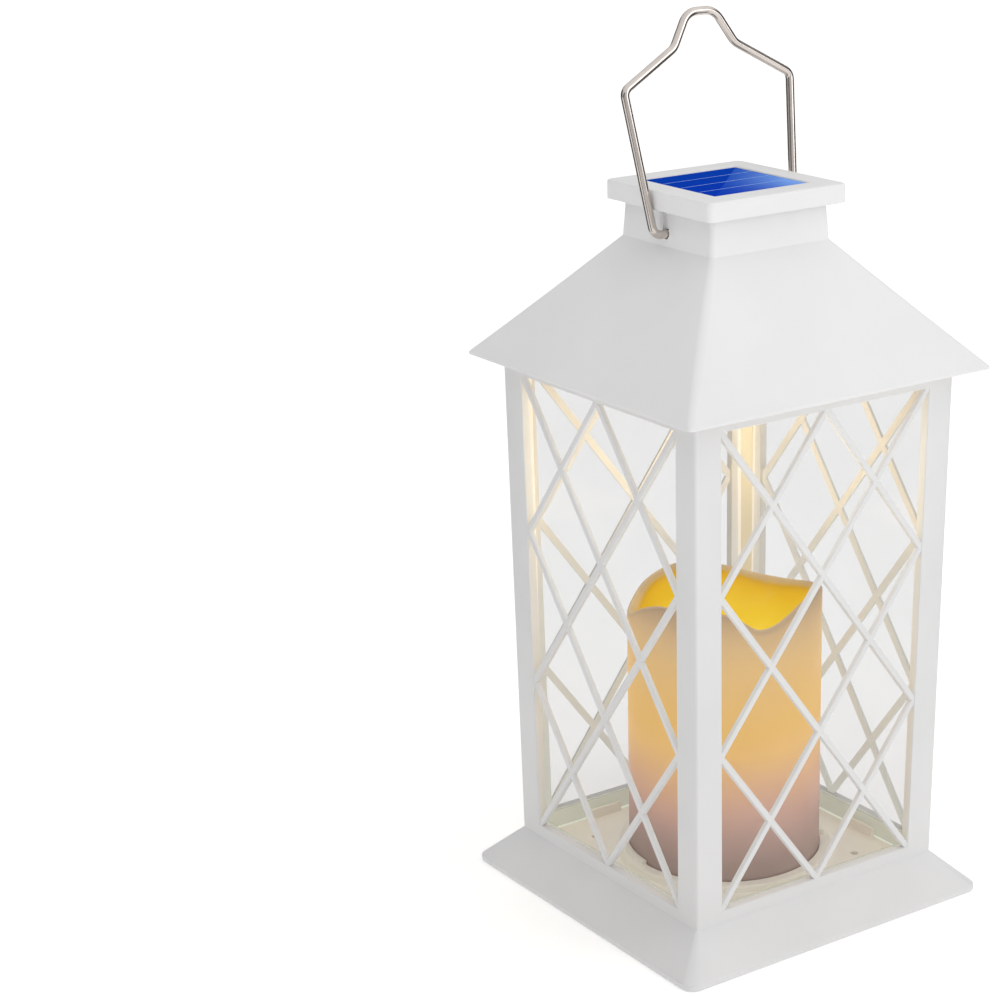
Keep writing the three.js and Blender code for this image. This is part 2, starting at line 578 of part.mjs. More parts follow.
// ---------------------------------------------------------------- rechargeable cell and contacts
{
  const g = lathe([[0, -CELL_LEN / 2], [CELL_R - 0.6, -CELL_LEN / 2], [CELL_R, -CELL_LEN / 2 + 0.6], [CELL_R, CELL_LEN / 2 - 0.6],
    [CELL_R - 0.6, CELL_LEN / 2], [2.6, CELL_LEN / 2], [2.6, CELL_LEN / 2 + 1.2], [0, CELL_LEN / 2 + 1.2]], 24);
  g.rotateY(Math.PI / 2);
  g.translate(1.2, 0, CELL_Z);
  piece('battery_cell', g, BATT);
  piece('battery_contact_plate', box(27.0, 27.6, -5.5, 5.5, CELL_Z - 5.5, CELL_Z + 5.5), NICKEL);
  const pts = [];
  const turns = 2.5, steps = 30;
  for (let i = 0; i <= steps; i++) {
    const t = i / steps, a = t * turns * 2 * Math.PI, r = 5.0 - 1.8 * t;
    pts.push([-27.2 + 3.6 * t, r * Math.cos(a), CELL_Z + r * Math.sin(a)]);
  }
  piece('battery_spring', tube(pts, 0.4, 36, 6), NICKEL);
}

// ---------------------------------------------------------------- slide switch and control board
{
  let g = solid(box(-4.6, 4.6, -26.0, -22.0, COVER_Z1 + GAP, 9.4));
  g = g.subtract(solid(box(-3.4, 3.4, -25.1, -22.9, COVER_Z1 - 1, 7.6)));
  piece('switch_housing', g, BLACK);
  let s = solid(box(-3.0, 0.0, -25.0, -23.0, 5.6, 7.3));
  s = s.add(solid(box(-2.6, -0.4, -24.8, -23.2, 2.2, 5.8)));
  piece('switch_slider', s, BLACK);
  let b = solid(box(-17, 17, 18.5, 31.5, 6.2, 7.6));
  b = b.add(solid(box(-4, 1, 22, 27, 7.4, 8.8)));
  b = b.add(solid(cyl(2.6, 7.4, 9.8, 9.5, 25, 16)));
  b = b.add(solid(box(-12.5, -8.5, 20, 22, 7.4, 8.3)));
  b = b.add(solid(box(-12.5, -8.5, 26, 28, 7.4, 8.3)));
  piece('control_board', b, BOARD);
}

// ---------------------------------------------------------------- leads and the corner duct
{
  // from the panel through the neck, under the rear right hip, down the rear right post and to the board
  const c0 = faceHalf(OPEN_Z0) - WALL - 0.95, c1 = faceHalf(209) - WALL - 0.95;
  piece('solar_lead', tube([
    [0, 0, 276.2], [0.5, 0.5, 270], [6, 6, 262], [18, 17, 254.5], [30, 27, 243.5], [44, 38, 233], [51, 43, 227.5], [56, 48, 219.5], [56.4, 53.2, 214.5], [c1 + 0.15, c1 + 0.15, 211.2], [c1, c1, 204],
    [lerp(c0, c1, 0.66), lerp(c0, c1, 0.66), 140], [lerp(c0, c1, 0.33), lerp(c0, c1, 0.33), 80], [c0, c0, 26], [52.2, 52.2, 17.2], [50.1, 50.1, 13.2], [50.0, 49.8, 9.8],
    [50.6, 46.5, 8.6], [50.2, 40, 8.2], [42, 31.5, 8.2], [28, 28, 8.2], [17.6, 26, 7.8],
  ], 0.65, 56, 8), LEAD);
  // narrow cover strip across the inner corner of the post
  const strip = (z) => {
    const q = faceHalf(z) - WALL - 0.25, o = 3.1, th = 0.8;
    return [[q, q - o], [q - o, q], [q - o - th * 0.7071, q - th * 0.7071], [q - th * 0.7071, q - o - th * 0.7071]].map(([x, y]) => [x, y, z]);
  };
  piece('lead_duct_cover', loft([strip(28), strip(208.8)]), CREAM);
  piece('led_lead', tube([[4, 21, 8.4], [2, 15, 12], [0, 12.6, 18], [2, 12.0, 26], [5.5, 6.5, 40], [6.6, 4, 60], [7.6, 3, 74], [8.0, 2.4, 80.4]], 0.55, 22, 8), LEAD);
}

export default group;
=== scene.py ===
import math

import bmesh
import bpy
import numpy as np
from mathutils import Matrix, Vector


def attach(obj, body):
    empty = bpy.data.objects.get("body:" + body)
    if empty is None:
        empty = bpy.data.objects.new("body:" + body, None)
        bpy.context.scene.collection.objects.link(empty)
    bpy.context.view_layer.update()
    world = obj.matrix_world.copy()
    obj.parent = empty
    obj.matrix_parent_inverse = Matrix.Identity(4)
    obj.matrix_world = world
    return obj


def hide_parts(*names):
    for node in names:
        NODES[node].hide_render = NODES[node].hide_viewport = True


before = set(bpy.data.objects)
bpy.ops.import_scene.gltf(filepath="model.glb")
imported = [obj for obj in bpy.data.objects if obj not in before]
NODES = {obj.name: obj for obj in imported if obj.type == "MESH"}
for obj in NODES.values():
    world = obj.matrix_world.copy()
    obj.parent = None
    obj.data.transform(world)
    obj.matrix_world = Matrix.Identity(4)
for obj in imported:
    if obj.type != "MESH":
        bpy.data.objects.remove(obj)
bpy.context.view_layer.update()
MM = 0.001

# ------------------------------------------------------------------ dimensions, millimetres
OPEN_Z0, OPEN_Z1 = 20.35, 205.4
FACE_HALF_Z0, FACE_HALF_Z1 = 57.66, 60.04
OPEN_HALF_Z0, OPEN_HALF_Z1 = 45.78, 48.45
WALL, FRAME_Z0, FRAME_TOP = 3.5, 14.6, 211.3
BAR_FRONT, BAR_BACK, BAR_SET, BAR_INNER = 2.3, 2.9, 0.35, 2.0
BASE_HALF = 71.5
LEAN = math.atan((FACE_HALF_Z1 - FACE_HALF_Z0) / (OPEN_Z1 - OPEN_Z0))
RUN = (OPEN_Z1 - OPEN_Z0) / math.cos(LEAN)
EAVE_HALF, EAVE_Z, EAVE_LIP = 70.0, 211.4, 1.0
NECK_Z0, NECK_Z1, NECK_HALF_Z0, NECK_HALF_Z1, SHELL = 258.7, 274.6, 27.64, 26.6, 2.2
CAP_Z0, CAP_Z1, CAP_HALF = 272.4, 279.5, 31.8
PANEL_HALF, PANEL_TOP = 21.76, 279.2
WIRE, PIVOT_Z, BAIL_LEAN = 3.2, 263.2, math.radians(11)
TRAY_Z0, TRAY_Z1, TRAY_HALF = 10.5, 12.5, 52.8
CANDLE_R, CANDLE_WALL, CANDLE_Z0 = 37.7, 2.6, 12.9
COLLAR_IN, COLLAR_OUT, COLLAR_Z = 38.1, 42.6, 15.0
DIP_Z = 101.0


def lerp(a, b, t):
    return a + (b - a) * t


def smooth(t):
    t = min(1.0, max(0.0, t))
    return t * t * (3 - 2 * t)


def face_half(z):
    return lerp(FACE_HALF_Z0, FACE_HALF_Z1, (z - OPEN_Z0) / (OPEN_Z1 - OPEN_Z0))


def open_half(z):
    return lerp(OPEN_HALF_Z0, OPEN_HALF_Z1, (z - OPEN_Z0) / (OPEN_Z1 - OPEN_Z0))


# ------------------------------------------------------------------ camera
def make_camera():
    az, el, dist, zc = math.radians(-38.1302), math.radians(17.5628), 0.95603, 0.156583
    yaw, roll = math.radians(-2.8507), math.radians(-0.7794)
    pos = Vector((math.sin(az) * math.cos(el) * dist, -math.cos(az) * math.cos(el) * dist, zc + math.sin(el) * dist))
    up0 = Vector((0, 0, 1))
    fw = (Vector((0, 0, zc)) - pos).normalized()
    r = fw.cross(up0).normalized()
    fw = (fw * math.cos(yaw) + r * math.sin(yaw)).normalized()
    r = fw.cross(up0).normalized()
    up = r.cross(fw)
    r2 = r * math.cos(roll) + up * math.sin(roll)
    u2 = -r * math.sin(roll) + up * math.cos(roll)
    m = Matrix(((r2.x, u2.x, -fw.x, pos.x), (r2.y, u2.y, -fw.y, pos.y), (r2.z, u2.z, -fw.z, pos.z), (0, 0, 0, 1)))
    data = bpy.data.cameras.new("camera")
    data.sensor_width = 36.0
    data.lens = 90.087
    data.shift_x = -0.10
    data.clip_start, data.clip_end = 0.01, 100.0
    cam = bpy.data.objects.new("camera", data)
    cam.matrix_world = m
    bpy.context.scene.collection.objects.link(cam)
    bpy.context.scene.camera = cam
    return cam


make_camera()


# ------------------------------------------------------------------ node materials
class Mat:
    """A node material being written: m.add('ShaderNodeX', Socket=value or (node, output)) makes a node."""

    def __init__(self, name):
        self.m = bpy.data.materials.new(name)
        self.m.use_nodes = True
        self.t = self.m.node_tree
        self.p = next(n for n in self.t.nodes if n.type == "BSDF_PRINCIPLED")
        self.out = next(n for n in self.t.nodes if n.type == "OUTPUT_MATERIAL")
        self._co = None

    def add(self, kind, props=None, **sockets):
        n = self.t.nodes.new(kind)
        for k, v in (props or {}).items():
            setattr(n, k, v)
        for k, v in sockets.items():
            self.put(n, k, v)
        return n

    def put(self, node, key, value):
        if key.startswith("i") and key[1:].isdigit():
            sock = node.inputs[int(key[1:])]
        else:
            sock = node.inputs[key.replace("_", " ")]
        if isinstance(value, tuple) and len(value) == 2 and isinstance(value[0], bpy.types.Node):
            self.t.links.new(value[0].outputs[value[1]], sock)
        elif isinstance(value, bpy.types.Node):
            self.t.links.new(value.outputs[0], sock)
        else:
            sock.default_value = value

    def co(self):
        if self._co is None:
            self._co = self.add("ShaderNodeTexCoord")
        return (self._co, "Object")

    def math(self, op, a, b=0.0, c=None, clamp=False):
        n = self.add("ShaderNodeMath", {"operation": op, "use_clamp": clamp})
        self.put(n, "i0", a)
        self.put(n, "i1", b)
        if c is not None:
            self.put(n, "i2", c)
        return n

    def range(self, v, a, b, c=0.0, d=1.0, smoothly=False):
        n = self.add("ShaderNodeMapRange", {"clamp": True, "interpolation_type": "SMOOTHSTEP" if smoothly else "LINEAR"})
        for k, x in (("Value", v), ("From Min", a), ("From Max", b), ("To Min", c), ("To Max", d)):
            if isinstance(x, bpy.types.Node):
                self.t.links.new(x.outputs[0], n.inputs[k])
            elif isinstance(x, tuple):
                self.t.links.new(x[0].outputs[x[1]], n.inputs[k])
            else:
                n.inputs[k].default_value = x
        return n

    def noise(self, scale, detail=2.0, rough=0.5, co=None):
        return self.add("ShaderNodeTexNoise", Vector=co or self.co(), Scale=scale, Detail=detail, Roughness=rough)

    def mix(self, a, b, fac, blend="MIX"):
        n = self.add("ShaderNodeMix", {"data_type": "RGBA", "blend_type": blend})
        fsock = n.inputs[0]
        if isinstance(fac, bpy.types.Node):
            self.t.links.new(fac.outputs[0], fsock)
        elif isinstance(fac, tuple):
            self.t.links.new(fac[0].outputs[fac[1]], fsock)
        else:
            fsock.default_value = fac
        for idx, v in ((6, a), (7, b)):
            s = n.inputs[idx]
            if isinstance(v, bpy.types.Node):
                out = v.outputs[2] if v.bl_idname == "ShaderNodeMix" else v.outputs[0]
                self.t.links.new(out, s)
            else:
                s.default_value = v
        return n

    def ramp(self, fac, stops, mode="LINEAR"):
        n = self.add("ShaderNodeValToRGB")
        cr = n.color_ramp
        cr.interpolation = mode
        while len(cr.elements) > 1:
            cr.elements.remove(cr.elements[-1])
        cr.elements[0].position, cr.elements[0].color = stops[0][0], (*stops[0][1], 1)
        for pos, col in stops[1:]:
            e = cr.elements.new(pos)
            e.color = (*col, 1)
        self.put(n, "i0", fac)
        return n

    def base(self, node):
        out = node.outputs[2] if node.bl_idname == "ShaderNodeMix" else node.outputs[0]
        self.t.links.new(out, self.p.inputs["Base Color"])

    def emit(self, node, strength=1.0):
        out = node.outputs[2] if node.bl_idname == "ShaderNodeMix" else node.outputs[0]
        self.t.links.new(out, self.p.inputs["Emission Color"])
        self.p.inputs["Emission Strength"].default_value = strength

    def rough(self, lo, hi, scale, detail=2.0):
        self.put(self.p, "Roughness", self.range((self.noise(scale, detail), "Fac"), 0.3, 0.7, lo, hi))

    def bump(self, height, distance, strength=1.0):
        b = self.add("ShaderNodeBump", Strength=strength, Distance=distance)
        if isinstance(height, tuple):
            self.t.links.new(height[0].outputs[height[1]], b.inputs["Height"])
        else:
            self.t.links.new(height.outputs[0], b.inputs["Height"])
        self.t.links.new(b.outputs[0], self.p.inputs["Normal"])

    def set(self, **kw):
        for k, v in kw.items():
            self.p.inputs[k.replace("_", " ")].default_value = v
        return self


def lin(r, g, b):
    def f(c):
        c /= 255
        return c / 12.92 if c <= 0.04045 else ((c + 0.055) / 1.055) ** 2.4
    return (f(r), f(g), f(b))


def rgba(c, k=1.0):
    return (c[0] * k, c[1] * k, c[2] * k, 1.0)


def moulded(name, colour, rough=(0.36, 0.46), grain=2600.0, grain_depth=0.00002, spec=0.45, sink=True):
    """Injection-moulded plastic: cloudy tone, fine spark-eroded grain, slow sink waviness."""
    m = Mat(name)
    cloud = m.noise(22.0, 3.0, 0.55)
    speck = m.noise(900.0, 2.0, 0.6)
    a = m.mix(rgba(colour, 0.975), rgba(colour, 1.01), m.range((cloud, "Fac"), 0.32, 0.68))
    b = m.mix(a, rgba(colour, 0.95), m.range((speck, "Fac"), 0.66, 0.80, 0.0, 0.5))
    m.base(b)
    m.rough(rough[0], rough[1], 60.0)
    fine = m.noise(grain, 3.0, 0.6)
    slow = m.noise(35.0, 1.0, 0.4)
    h = m.math("MULTIPLY_ADD", (slow, "Fac"), 2.5 if sink else 0.0, (fine, "Fac"))
    m.bump(h, grain_depth, 0.35)
    m.set(Specular_IOR_Level=spec)
    return m.m


# The body and the roof are one white plastic; the body's copy is set a little darker, painted shade that holds its
# walls below the roof's brightness.
WHITE = moulded("white_body_plastic", (0.758, 0.756, 0.756))
ROOF = moulded("white_roof_plastic", (0.803, 0.800, 0.799), rough=(0.48, 0.58), grain=3200.0, grain_depth=0.00003, spec=0.35)
CREAM = moulded("cream_tray_plastic", (0.835, 0.805, 0.735), rough=(0.3, 0.42), spec=0.4)



def painted_glow_plastic(name, colour, glow=1.0):
    """Inner faces of the housing: the same moulding, tinted, with a painted glow that stands in for the warm light
    filling the lantern, more so near the roof.
    """
    m = Mat(name)
    sep = m.add("ShaderNodeSeparateXYZ", Vector=m.co())
    cloud = m.noise(22.0, 3.0, 0.55)
    m.base(m.mix(rgba(colour, 0.96), rgba(colour, 1.02), m.range((cloud, "Fac"), 0.32, 0.68)))
    wob = m.math("MULTIPLY_ADD", m.math("SUBTRACT", (m.noise(14.0), "Fac"), 0.5), 0.03, (sep, "Z"))
    # painted glow that changes with height: cool low down, warm towards the roof
    m.emit(m.ramp(m.range(wob, 0.015, 0.211), [(0.0, (0.38, 0.41, 0.37)), (0.35, (0.33, 0.37, 0.37)), (0.6, (0.42, 0.39, 0.34)), (0.85, (0.31, 0.24, 0.175)), (1.0, (0.245, 0.175, 0.105))]), glow)
    m.rough(0.36, 0.46, 60.0)
    m.bump((m.noise(2600.0, 3.0, 0.6), "Fac"), 0.00002, 0.3)
    m.set(Specular_IOR_Level=0.3)
    return m.m


INNER = painted_glow_plastic("inner_painted_glow", (0.78, 0.76, 0.71))
REVEAL = painted_glow_plastic("window_edge_painted_glow", (0.78, 0.76, 0.71), 0.19)
DUCT = painted_glow_plastic("duct_painted_glow", (0.78, 0.72, 0.54), 0.33)
# the cream tray plastic glows faintly: painted light standing in for the lit interior, also on the collar and LED stand
for _n in CREAM.node_tree.nodes:
    if _n.type == "BSDF_PRINCIPLED":
        _n.inputs["Emission Color"].default_value = (1.0, 0.93, 0.80, 1)
        _n.inputs["Emission Strength"].default_value = 0.10
BLACK = moulded("black_switch_plastic", (0.022, 0.022, 0.024), rough=(0.42, 0.55), spec=0.5)


def clear_sheet():
    m = Mat("clear_window_sheet")
    sep = m.add("ShaderNodeSeparateXYZ", Vector=m.co())
    streak = m.noise(18.0, 4.0, 0.6)
    # the band below the window opening: paler, nearly opaque and glowing, a painted lit sheet over the shaded rail and
    # skirt behind it
    low = m.range((sep, "Z"), 0.0200, 0.0206, 1.0, 0.0, True)
    tint = m.mix(rgba((0.030, 0.034, 0.032)), rgba((0.82, 0.84, 0.78)), low)
    m.base(tint)
    film = m.range((streak, "Fac"), 0.35, 0.7, 0.068, 0.080)
    m.put(m.p, "Alpha", m.math("MULTIPLY_ADD", low, 0.68, film))
    m.emit(m.mix(rgba((0, 0, 0)), rgba((0.085, 0.095, 0.085)), low), 1.0)
    m.rough(0.05, 0.10, 40.0)
    m.set(Specular_IOR_Level=0.35)
    m.m.surface_render_method = "BLENDED"
    return m.m


CLEAR = clear_sheet()


def wire_metal(name, colour, rough=(0.10, 0.17)):
    m = Mat(name)
    sep = m.add("ShaderNodeSeparateXYZ", Vector=m.co())
    cloud = m.noise(120.0, 4.0, 0.6)
    m.base(m.mix(rgba(colour, 0.90), rgba(colour, 1.03), m.range((cloud, "Fac"), 0.3, 0.7)))
    draw = m.add("ShaderNodeCombineXYZ", X=m.math("MULTIPLY", (sep, "X"), 4000.0), Y=m.math("MULTIPLY", (sep, "Y"), 4000.0), Z=m.math("MULTIPLY", (sep, "Z"), 160.0))
    lines = m.noise(1.0, 2.0, 0.5, (draw, 0))
    m.put(m.p, "Roughness", m.range((lines, "Fac"), 0.3, 0.7, rough[0], rough[1]))
    m.bump((lines, "Fac"), 0.00001, 0.12)
    m.set(Metallic=1.0)
    return m.m


NICKEL_WIRE = wire_metal("polished_nickel_wire", (0.66, 0.60, 0.56), (0.12, 0.18))
PLATED = wire_metal("plated_steel", (0.70, 0.685, 0.66), (0.22, 0.34))
PLATED_GOLD = wire_metal("brass_contact", (0.86, 0.66, 0.34), (0.2, 0.3))


def solar_cells():
    """Deep blue cells behind a clear resin, with a painted sheen lightening one half of the panel in place of the
    resin's gloss.
    """
    m = Mat("solar_cells")
    sep = m.add("ShaderNodeSeparateXYZ", Vector=m.co())
    x, y = (sep, "X"), (sep, "Y")
    d = m.math("SUBTRACT", x, y)                              # > 0 on the lighter half
    along = m.math("ADD", x, y)                               # - near corner, + far corner
    # painted sheen: the half where x > y is lightened, strongest towards the far corner, in place of a reflection from
    # the resin
    edge = m.range(d, -0.0002, 0.0006, 0.0, 1.0, True)
    fade = m.range(along, -0.040, 0.020, 0.12, 1.0, True)
    reach = m.range(d, 0.0, 0.034, 0.42, 1.0)
    light = m.math("MULTIPLY", m.math("MULTIPLY", edge, fade), reach)
    dark = m.mix(rgba((0.0035, 0.036, 0.46)), rgba((0.003, 0.050, 0.42)), m.range(y, -0.02, 0.02))
    pale = m.mix(rgba((0.060, 0.18, 0.66)), rgba((0.27, 0.50, 1.0)), m.range(d, 0.0, 0.036))
    body = m.mix(dark, pale, light)
    crystal = m.add("ShaderNodeTexVoronoi", {"feature": "F1"}, Vector=m.co(), Scale=420.0)
    body = m.mix(body, rgba((0.01, 0.07, 0.62)), m.range((crystal, "Distance"), 0.1, 0.9, 0.0, 0.10))
    # fine finger lines across each cell
    comb = m.math("ABSOLUTE", m.math("SINE", m.math("MULTIPLY", x, math.pi / 0.0011)))
    body = m.mix(body, rgba((0.12, 0.26, 0.70)), m.range(comb, 0.0, 0.10, 0.10, 0.0))
    # painted reflection: glossy rays see the cells as plain grey, so bright metal nearby mirrors no blue from them
    m.base(m.mix(body, rgba((0.42, 0.42, 0.42)), (m.add("ShaderNodeLightPath"), "Is Glossy Ray")))
    m.rough(0.10, 0.16, 80.0)
    m.set(Specular_IOR_Level=0.0)
    return m.m


CELLS = solar_cells()
_m = Mat("panel_frame_blue")
_m.base(_m.mix(rgba((0.006, 0.022, 0.16)), rgba((0.008, 0.03, 0.20)), _m.range((_m.noise(300.0), "Fac"), 0.3, 0.7)))
_m.rough(0.2, 0.3, 100.0)
_m.set(Specular_IOR_Level=0.0)
PANEL_EDGE = _m.m
_m = Mat("cell_ribbon")
_m.base(_m.mix(rgba((0.22, 0.42, 0.80)), rgba((0.40, 0.60, 0.90)), _m.range((_m.noise(700.0), "Fac"), 0.3, 0.7)))
_m.rough(0.25, 0.4, 300.0)
RIBBON = _m.m


def wax():
    """Ivory wax lit from inside: warm above, cool and unlit at the foot, brightest in the melted hollow."""
    m = Mat("lit_candle_wax")
    sep = m.add("ShaderNodeSeparateXYZ", Vector=m.co())
    x, y, z = (sep, "X"), (sep, "Y"), (sep, "Z")
    wob = m.noise(26.0, 3.0, 0.5)
    zz = m.math("MULTIPLY_ADD", m.math("SUBTRACT", (wob, "Fac"), 0.5), 0.012, z)
    t = m.range(zz, 0.012, 0.126)
    rr = m.math("SQRT", m.math("ADD", m.math("MULTIPLY", x, x), m.math("MULTIPLY", y, y)))
    below = m.add("ShaderNodeAttribute", {"attribute_type": "GEOMETRY", "attribute_name": "below_rim"})
    depth = m.math("MULTIPLY_ADD", m.math("SUBTRACT", (m.noise(60.0), "Fac"), 0.5), 1.2, (below, "Fac"))
    side_e = m.ramp(t, [
        (0.00, (0.000, 0.000, 0.000)), (0.08, (0.026, 0.008, 0.014)), (0.17, (0.098, 0.038, 0.034)), (0.26, (0.222, 0.088, 0.052)), (0.36, (0.350, 0.160, 0.062)),
        (0.48, (0.490, 0.255, 0.050)), (0.62, (0.488, 0.256, 0.050)), (0.78, (0.450, 0.250, 0.074)), (0.90, (0.345, 0.200, 0.085)), (1.00, (0.170, 0.095, 0.045))])
    side_b = m.ramp(t, [(0.0, (0.49, 0.385, 0.355)), (0.25, (0.55, 0.42, 0.37)), (0.55, (0.50, 0.38, 0.18)), (0.85, (0.46, 0.38, 0.24)), (1.0, (0.36, 0.30, 0.23))])
    side_e = m.mix(side_e, rgba((0.16, 0.09, 0.06)), m.range(depth, 0.4, 3.2, 0.75, 0.0, True))
    # the hollow: tan at the very lip, orange just below it, gold towards the middle
    hole_e = m.ramp(m.range(depth, 0.0, 18.0), [(0.0, (0.10, 0.055, 0.020)), (0.09, (0.16, 0.085, 0.020)), (0.20, (0.45, 0.235, 0.004)), (0.33, (0.55, 0.32, 0.006)), (0.65, (0.60, 0.40, 0.010)), (1.0, (0.64, 0.47, 0.016))])
    hole_e = m.mix(hole_e, rgba((0.72, 0.58, 0.10)), m.range(rr, 0.004, 0.016, 0.55, 0.0, True))
    hole_e = m.mix(hole_e, rgba((0.50, 0.27, 0.006)), m.range((m.noise(48.0, 3.0, 0.55), "Fac"), 0.50, 0.75, 0.0, 0.40))
    inside = m.range(rr, 0.0356, 0.0368, 1.0, 0.0, True)
    m.emit(m.mix(side_e, hole_e, inside), 1.0)
    b = m.mix(side_b, rgba((0.30, 0.20, 0.012)), m.math("MULTIPLY", inside, m.range(depth, 1.2, 3.4, 0.0, 1.0, True)))
    mott = m.noise(140.0, 4.0, 0.6)
    m.base(m.mix(b, rgba((0.40, 0.31, 0.24)), m.range((mott, "Fac"), 0.52, 0.8, 0.0, 0.22)))
    m.rough(0.42, 0.56, 90.0)
    h = m.math("MULTIPLY_ADD", (m.noise(70.0, 2.0), "Fac"), 3.0, (mott, "Fac"))
    m.bump(h, 0.00006, 0.4)
    m.set(Specular_IOR_Level=0.2)
    return m.m


WAX = wax()


def amber():
    m = Mat("amber_led_lens")
    n = m.noise(500.0)
    m.base(m.mix(rgba((0.95, 0.62, 0.12)), rgba((1.0, 0.78, 0.3)), m.range((n, "Fac"), 0.3, 0.7)))
    m.emit(m.mix(rgba((1.0, 0.60, 0.12)), rgba((1.0, 0.75, 0.25)), m.range((n, "Fac"), 0.3, 0.7)), 2.5)
    m.rough(0.08, 0.14, 200.0)
    return m.m


LENS = amber()


def board():
    m = Mat("green_circuit_board")
    sep = m.add("ShaderNodeSeparateXYZ", Vector=m.co())
    br = m.add("ShaderNodeTexBrick", Vector=m.co(), Scale=260.0)
    br.inputs["Color1"].default_value = rgba((0.012, 0.12, 0.045))
    br.inputs["Color2"].default_value = rgba((0.014, 0.15, 0.055))
    br.inputs["Mortar"].default_value = rgba((0.03, 0.26, 0.10))
    br.inputs["Mortar Size"].default_value = 0.06
    m.base(m.mix(br, rgba((0.01, 0.10, 0.04)), m.range((m.noise(200.0), "Fac"), 0.4, 0.7, 0.0, 0.4)))
    m.rough(0.25, 0.4, 200.0)
    return m.m


BOARD = board()


def cell_wrap():
    m = Mat("battery_sleeve")
    sep = m.add("ShaderNodeSeparateXYZ", Vector=m.co())
    x = (sep, "X")
    band = m.range(x, 0.0152, 0.0154, 0.0, 1.0)
    c = m.mix(rgba((0.02, 0.30, 0.12)), rgba((0.75, 0.76, 0.74)), band)
    m.base(m.mix(c, rgba((0.015, 0.22, 0.09)), m.range((m.noise(300.0), "Fac"), 0.5, 0.75, 0.0, 0.3)))
    m.rough(0.22, 0.32, 120.0)
    return m.m


WRAP = cell_wrap()


def insulation(name, colour):
    m = Mat(name)
    m.base(m.mix(rgba(colour, 0.85), rgba(colour, 1.1), m.range((m.noise(400.0), "Fac"), 0.3, 0.7)))
    m.rough(0.4, 0.55, 300.0)
    m.bump((m.noise(1500.0), "Fac"), 0.00002, 0.3)
    return m.m


RED = insulation("red_lead_sleeve", (0.42, 0.03, 0.02))


# ------------------------------------------------------------------ mesh helpers (millimetres in, metres out)
def new_mesh(name, verts, faces, material, slot=None, body="lantern", angle=32.0, scale=MM):
    me = bpy.data.meshes.new(name)
    me.from_pydata([(v[0] * scale, v[1] * scale, v[2] * scale) for v in verts], [], faces)
    me.validate()
    o = bpy.data.objects.new(name, me)
    bpy.context.scene.collection.objects.link(o)
    fix_normals(o)
    me.materials.append(material)
    shade(o, angle)
    return o


def fix_normals(o):
    bm = bmesh.new()
    bm.from_mesh(o.data)
    bmesh.ops.recalc_face_normals(bm, faces=bm.faces)
    if bm.calc_volume(signed=True) < 0:
        bmesh.ops.reverse_faces(bm, faces=bm.faces)
    bm.to_mesh(o.data)
    bm.free()


def shade(o, angle=32.0):
    for p in o.data.polygons:
        p.use_smooth = True
    o.data.set_sharp_from_angle(angle=math.radians(angle))


def apply_modifiers(o):
    dg = bpy.context.evaluated_depsgraph_get()
    me = bpy.data.meshes.new_from_object(o.evaluated_get(dg), depsgraph=dg)
    old = o.data
    o.modifiers.clear()
    o.data = me
    me.name = o.name
    bpy.data.meshes.remove(old)
    return o


def bevel(o, width, segments=2, angle=35.0, harden=False):
    m = o.modifiers.new("edge_radius", "BEVEL")
    m.width = width * MM
    m.segments = segments
    m.limit_method = "ANGLE"
    m.angle_limit = math.radians(angle)
    m.use_clamp_overlap = True
    m.harden_normals = harden
    return m


def boolean(o, other, op, keep=False):
    m = o.modifiers.new("cut", "BOOLEAN")
    m.operation = op
    m.solver = "MANIFOLD"
    m.object = other
    apply_modifiers(o)
    if not keep:
        bpy.data.objects.remove(other, do_unlink=True)
    return o


def square(half, r, z, n=10, half_y=None):
    """Rounded square, counter-clockwise."""
    hy = half if half_y is None else half_y
    out = []
    for sx, sy, a0 in ((1, 1, 0), (-1, 1, 90), (-1, -1, 180), (1, -1, 270)):
        for i in range(n + 1):
            a = math.radians(a0 + 90 * i / n)
            out.append((sx * (half - r) + r * math.cos(a), sy * (hy - r) + r * math.sin(a), z))
    return out


def ring_faces(rings, n, loop):
    faces = []
    last = rings if loop else rings - 1
    for k in range(last):
        a, b = k * n, ((k + 1) % rings) * n
        for i in range(n):
            j = (i + 1) % n
            faces.append((a + i, a + j, b + j, b + i))
    if not loop:
        faces.append(tuple(range(n - 1, -1, -1)))
        faces.append(tuple((rings - 1) * n + i for i in range(n)))
    return faces


def loft(name, rings, material, loop=False, angle=32.0):
    n = len(rings[0])
    verts = [p for r in rings for p in r]
    return new_mesh(name, verts, ring_faces(len(rings), n, loop), material, angle=angle)


def round_profile(rows, radii, steps=4):
    """Rounds the corners of a closed profile of (half width, z, plan radius) rows by the radii given, where not zero."""
    out = []
    n = len(rows)
    for i in range(n):
        h, z, r = rows[i]
        rad = radii[i]
        if rad <= 0:
            out.append(rows[i])
            continue
        p = Vector((rows[i - 1][0], rows[i - 1][1]))
        c = Vector((h, z))
        q = Vector((rows[(i + 1) % n][0], rows[(i + 1) % n][1]))
        d0, d1 = (p - c), (q - c)
        l0, l1 = d0.length, d1.length
        d0.normalize(), d1.normalize()
        ang = d0.angle(d1)
        t = min(rad / math.tan(ang / 2), 0.48 * l0, 0.48 * l1)
        a, b = c + d0 * t, c + d1 * t
        rp, rq = rows[i - 1][2], rows[(i + 1) % n][2]
        ra, rb = lerp(r, rp, t / l0), lerp(r, rq, t / l1)
        for k in range(steps + 1):
            s = k / steps
            pt = a * (1 - s) ** 2 + c * 2 * s * (1 - s) + b * s ** 2
            out.append((pt.x, pt.y, lerp(ra, rb, s)))
    return out


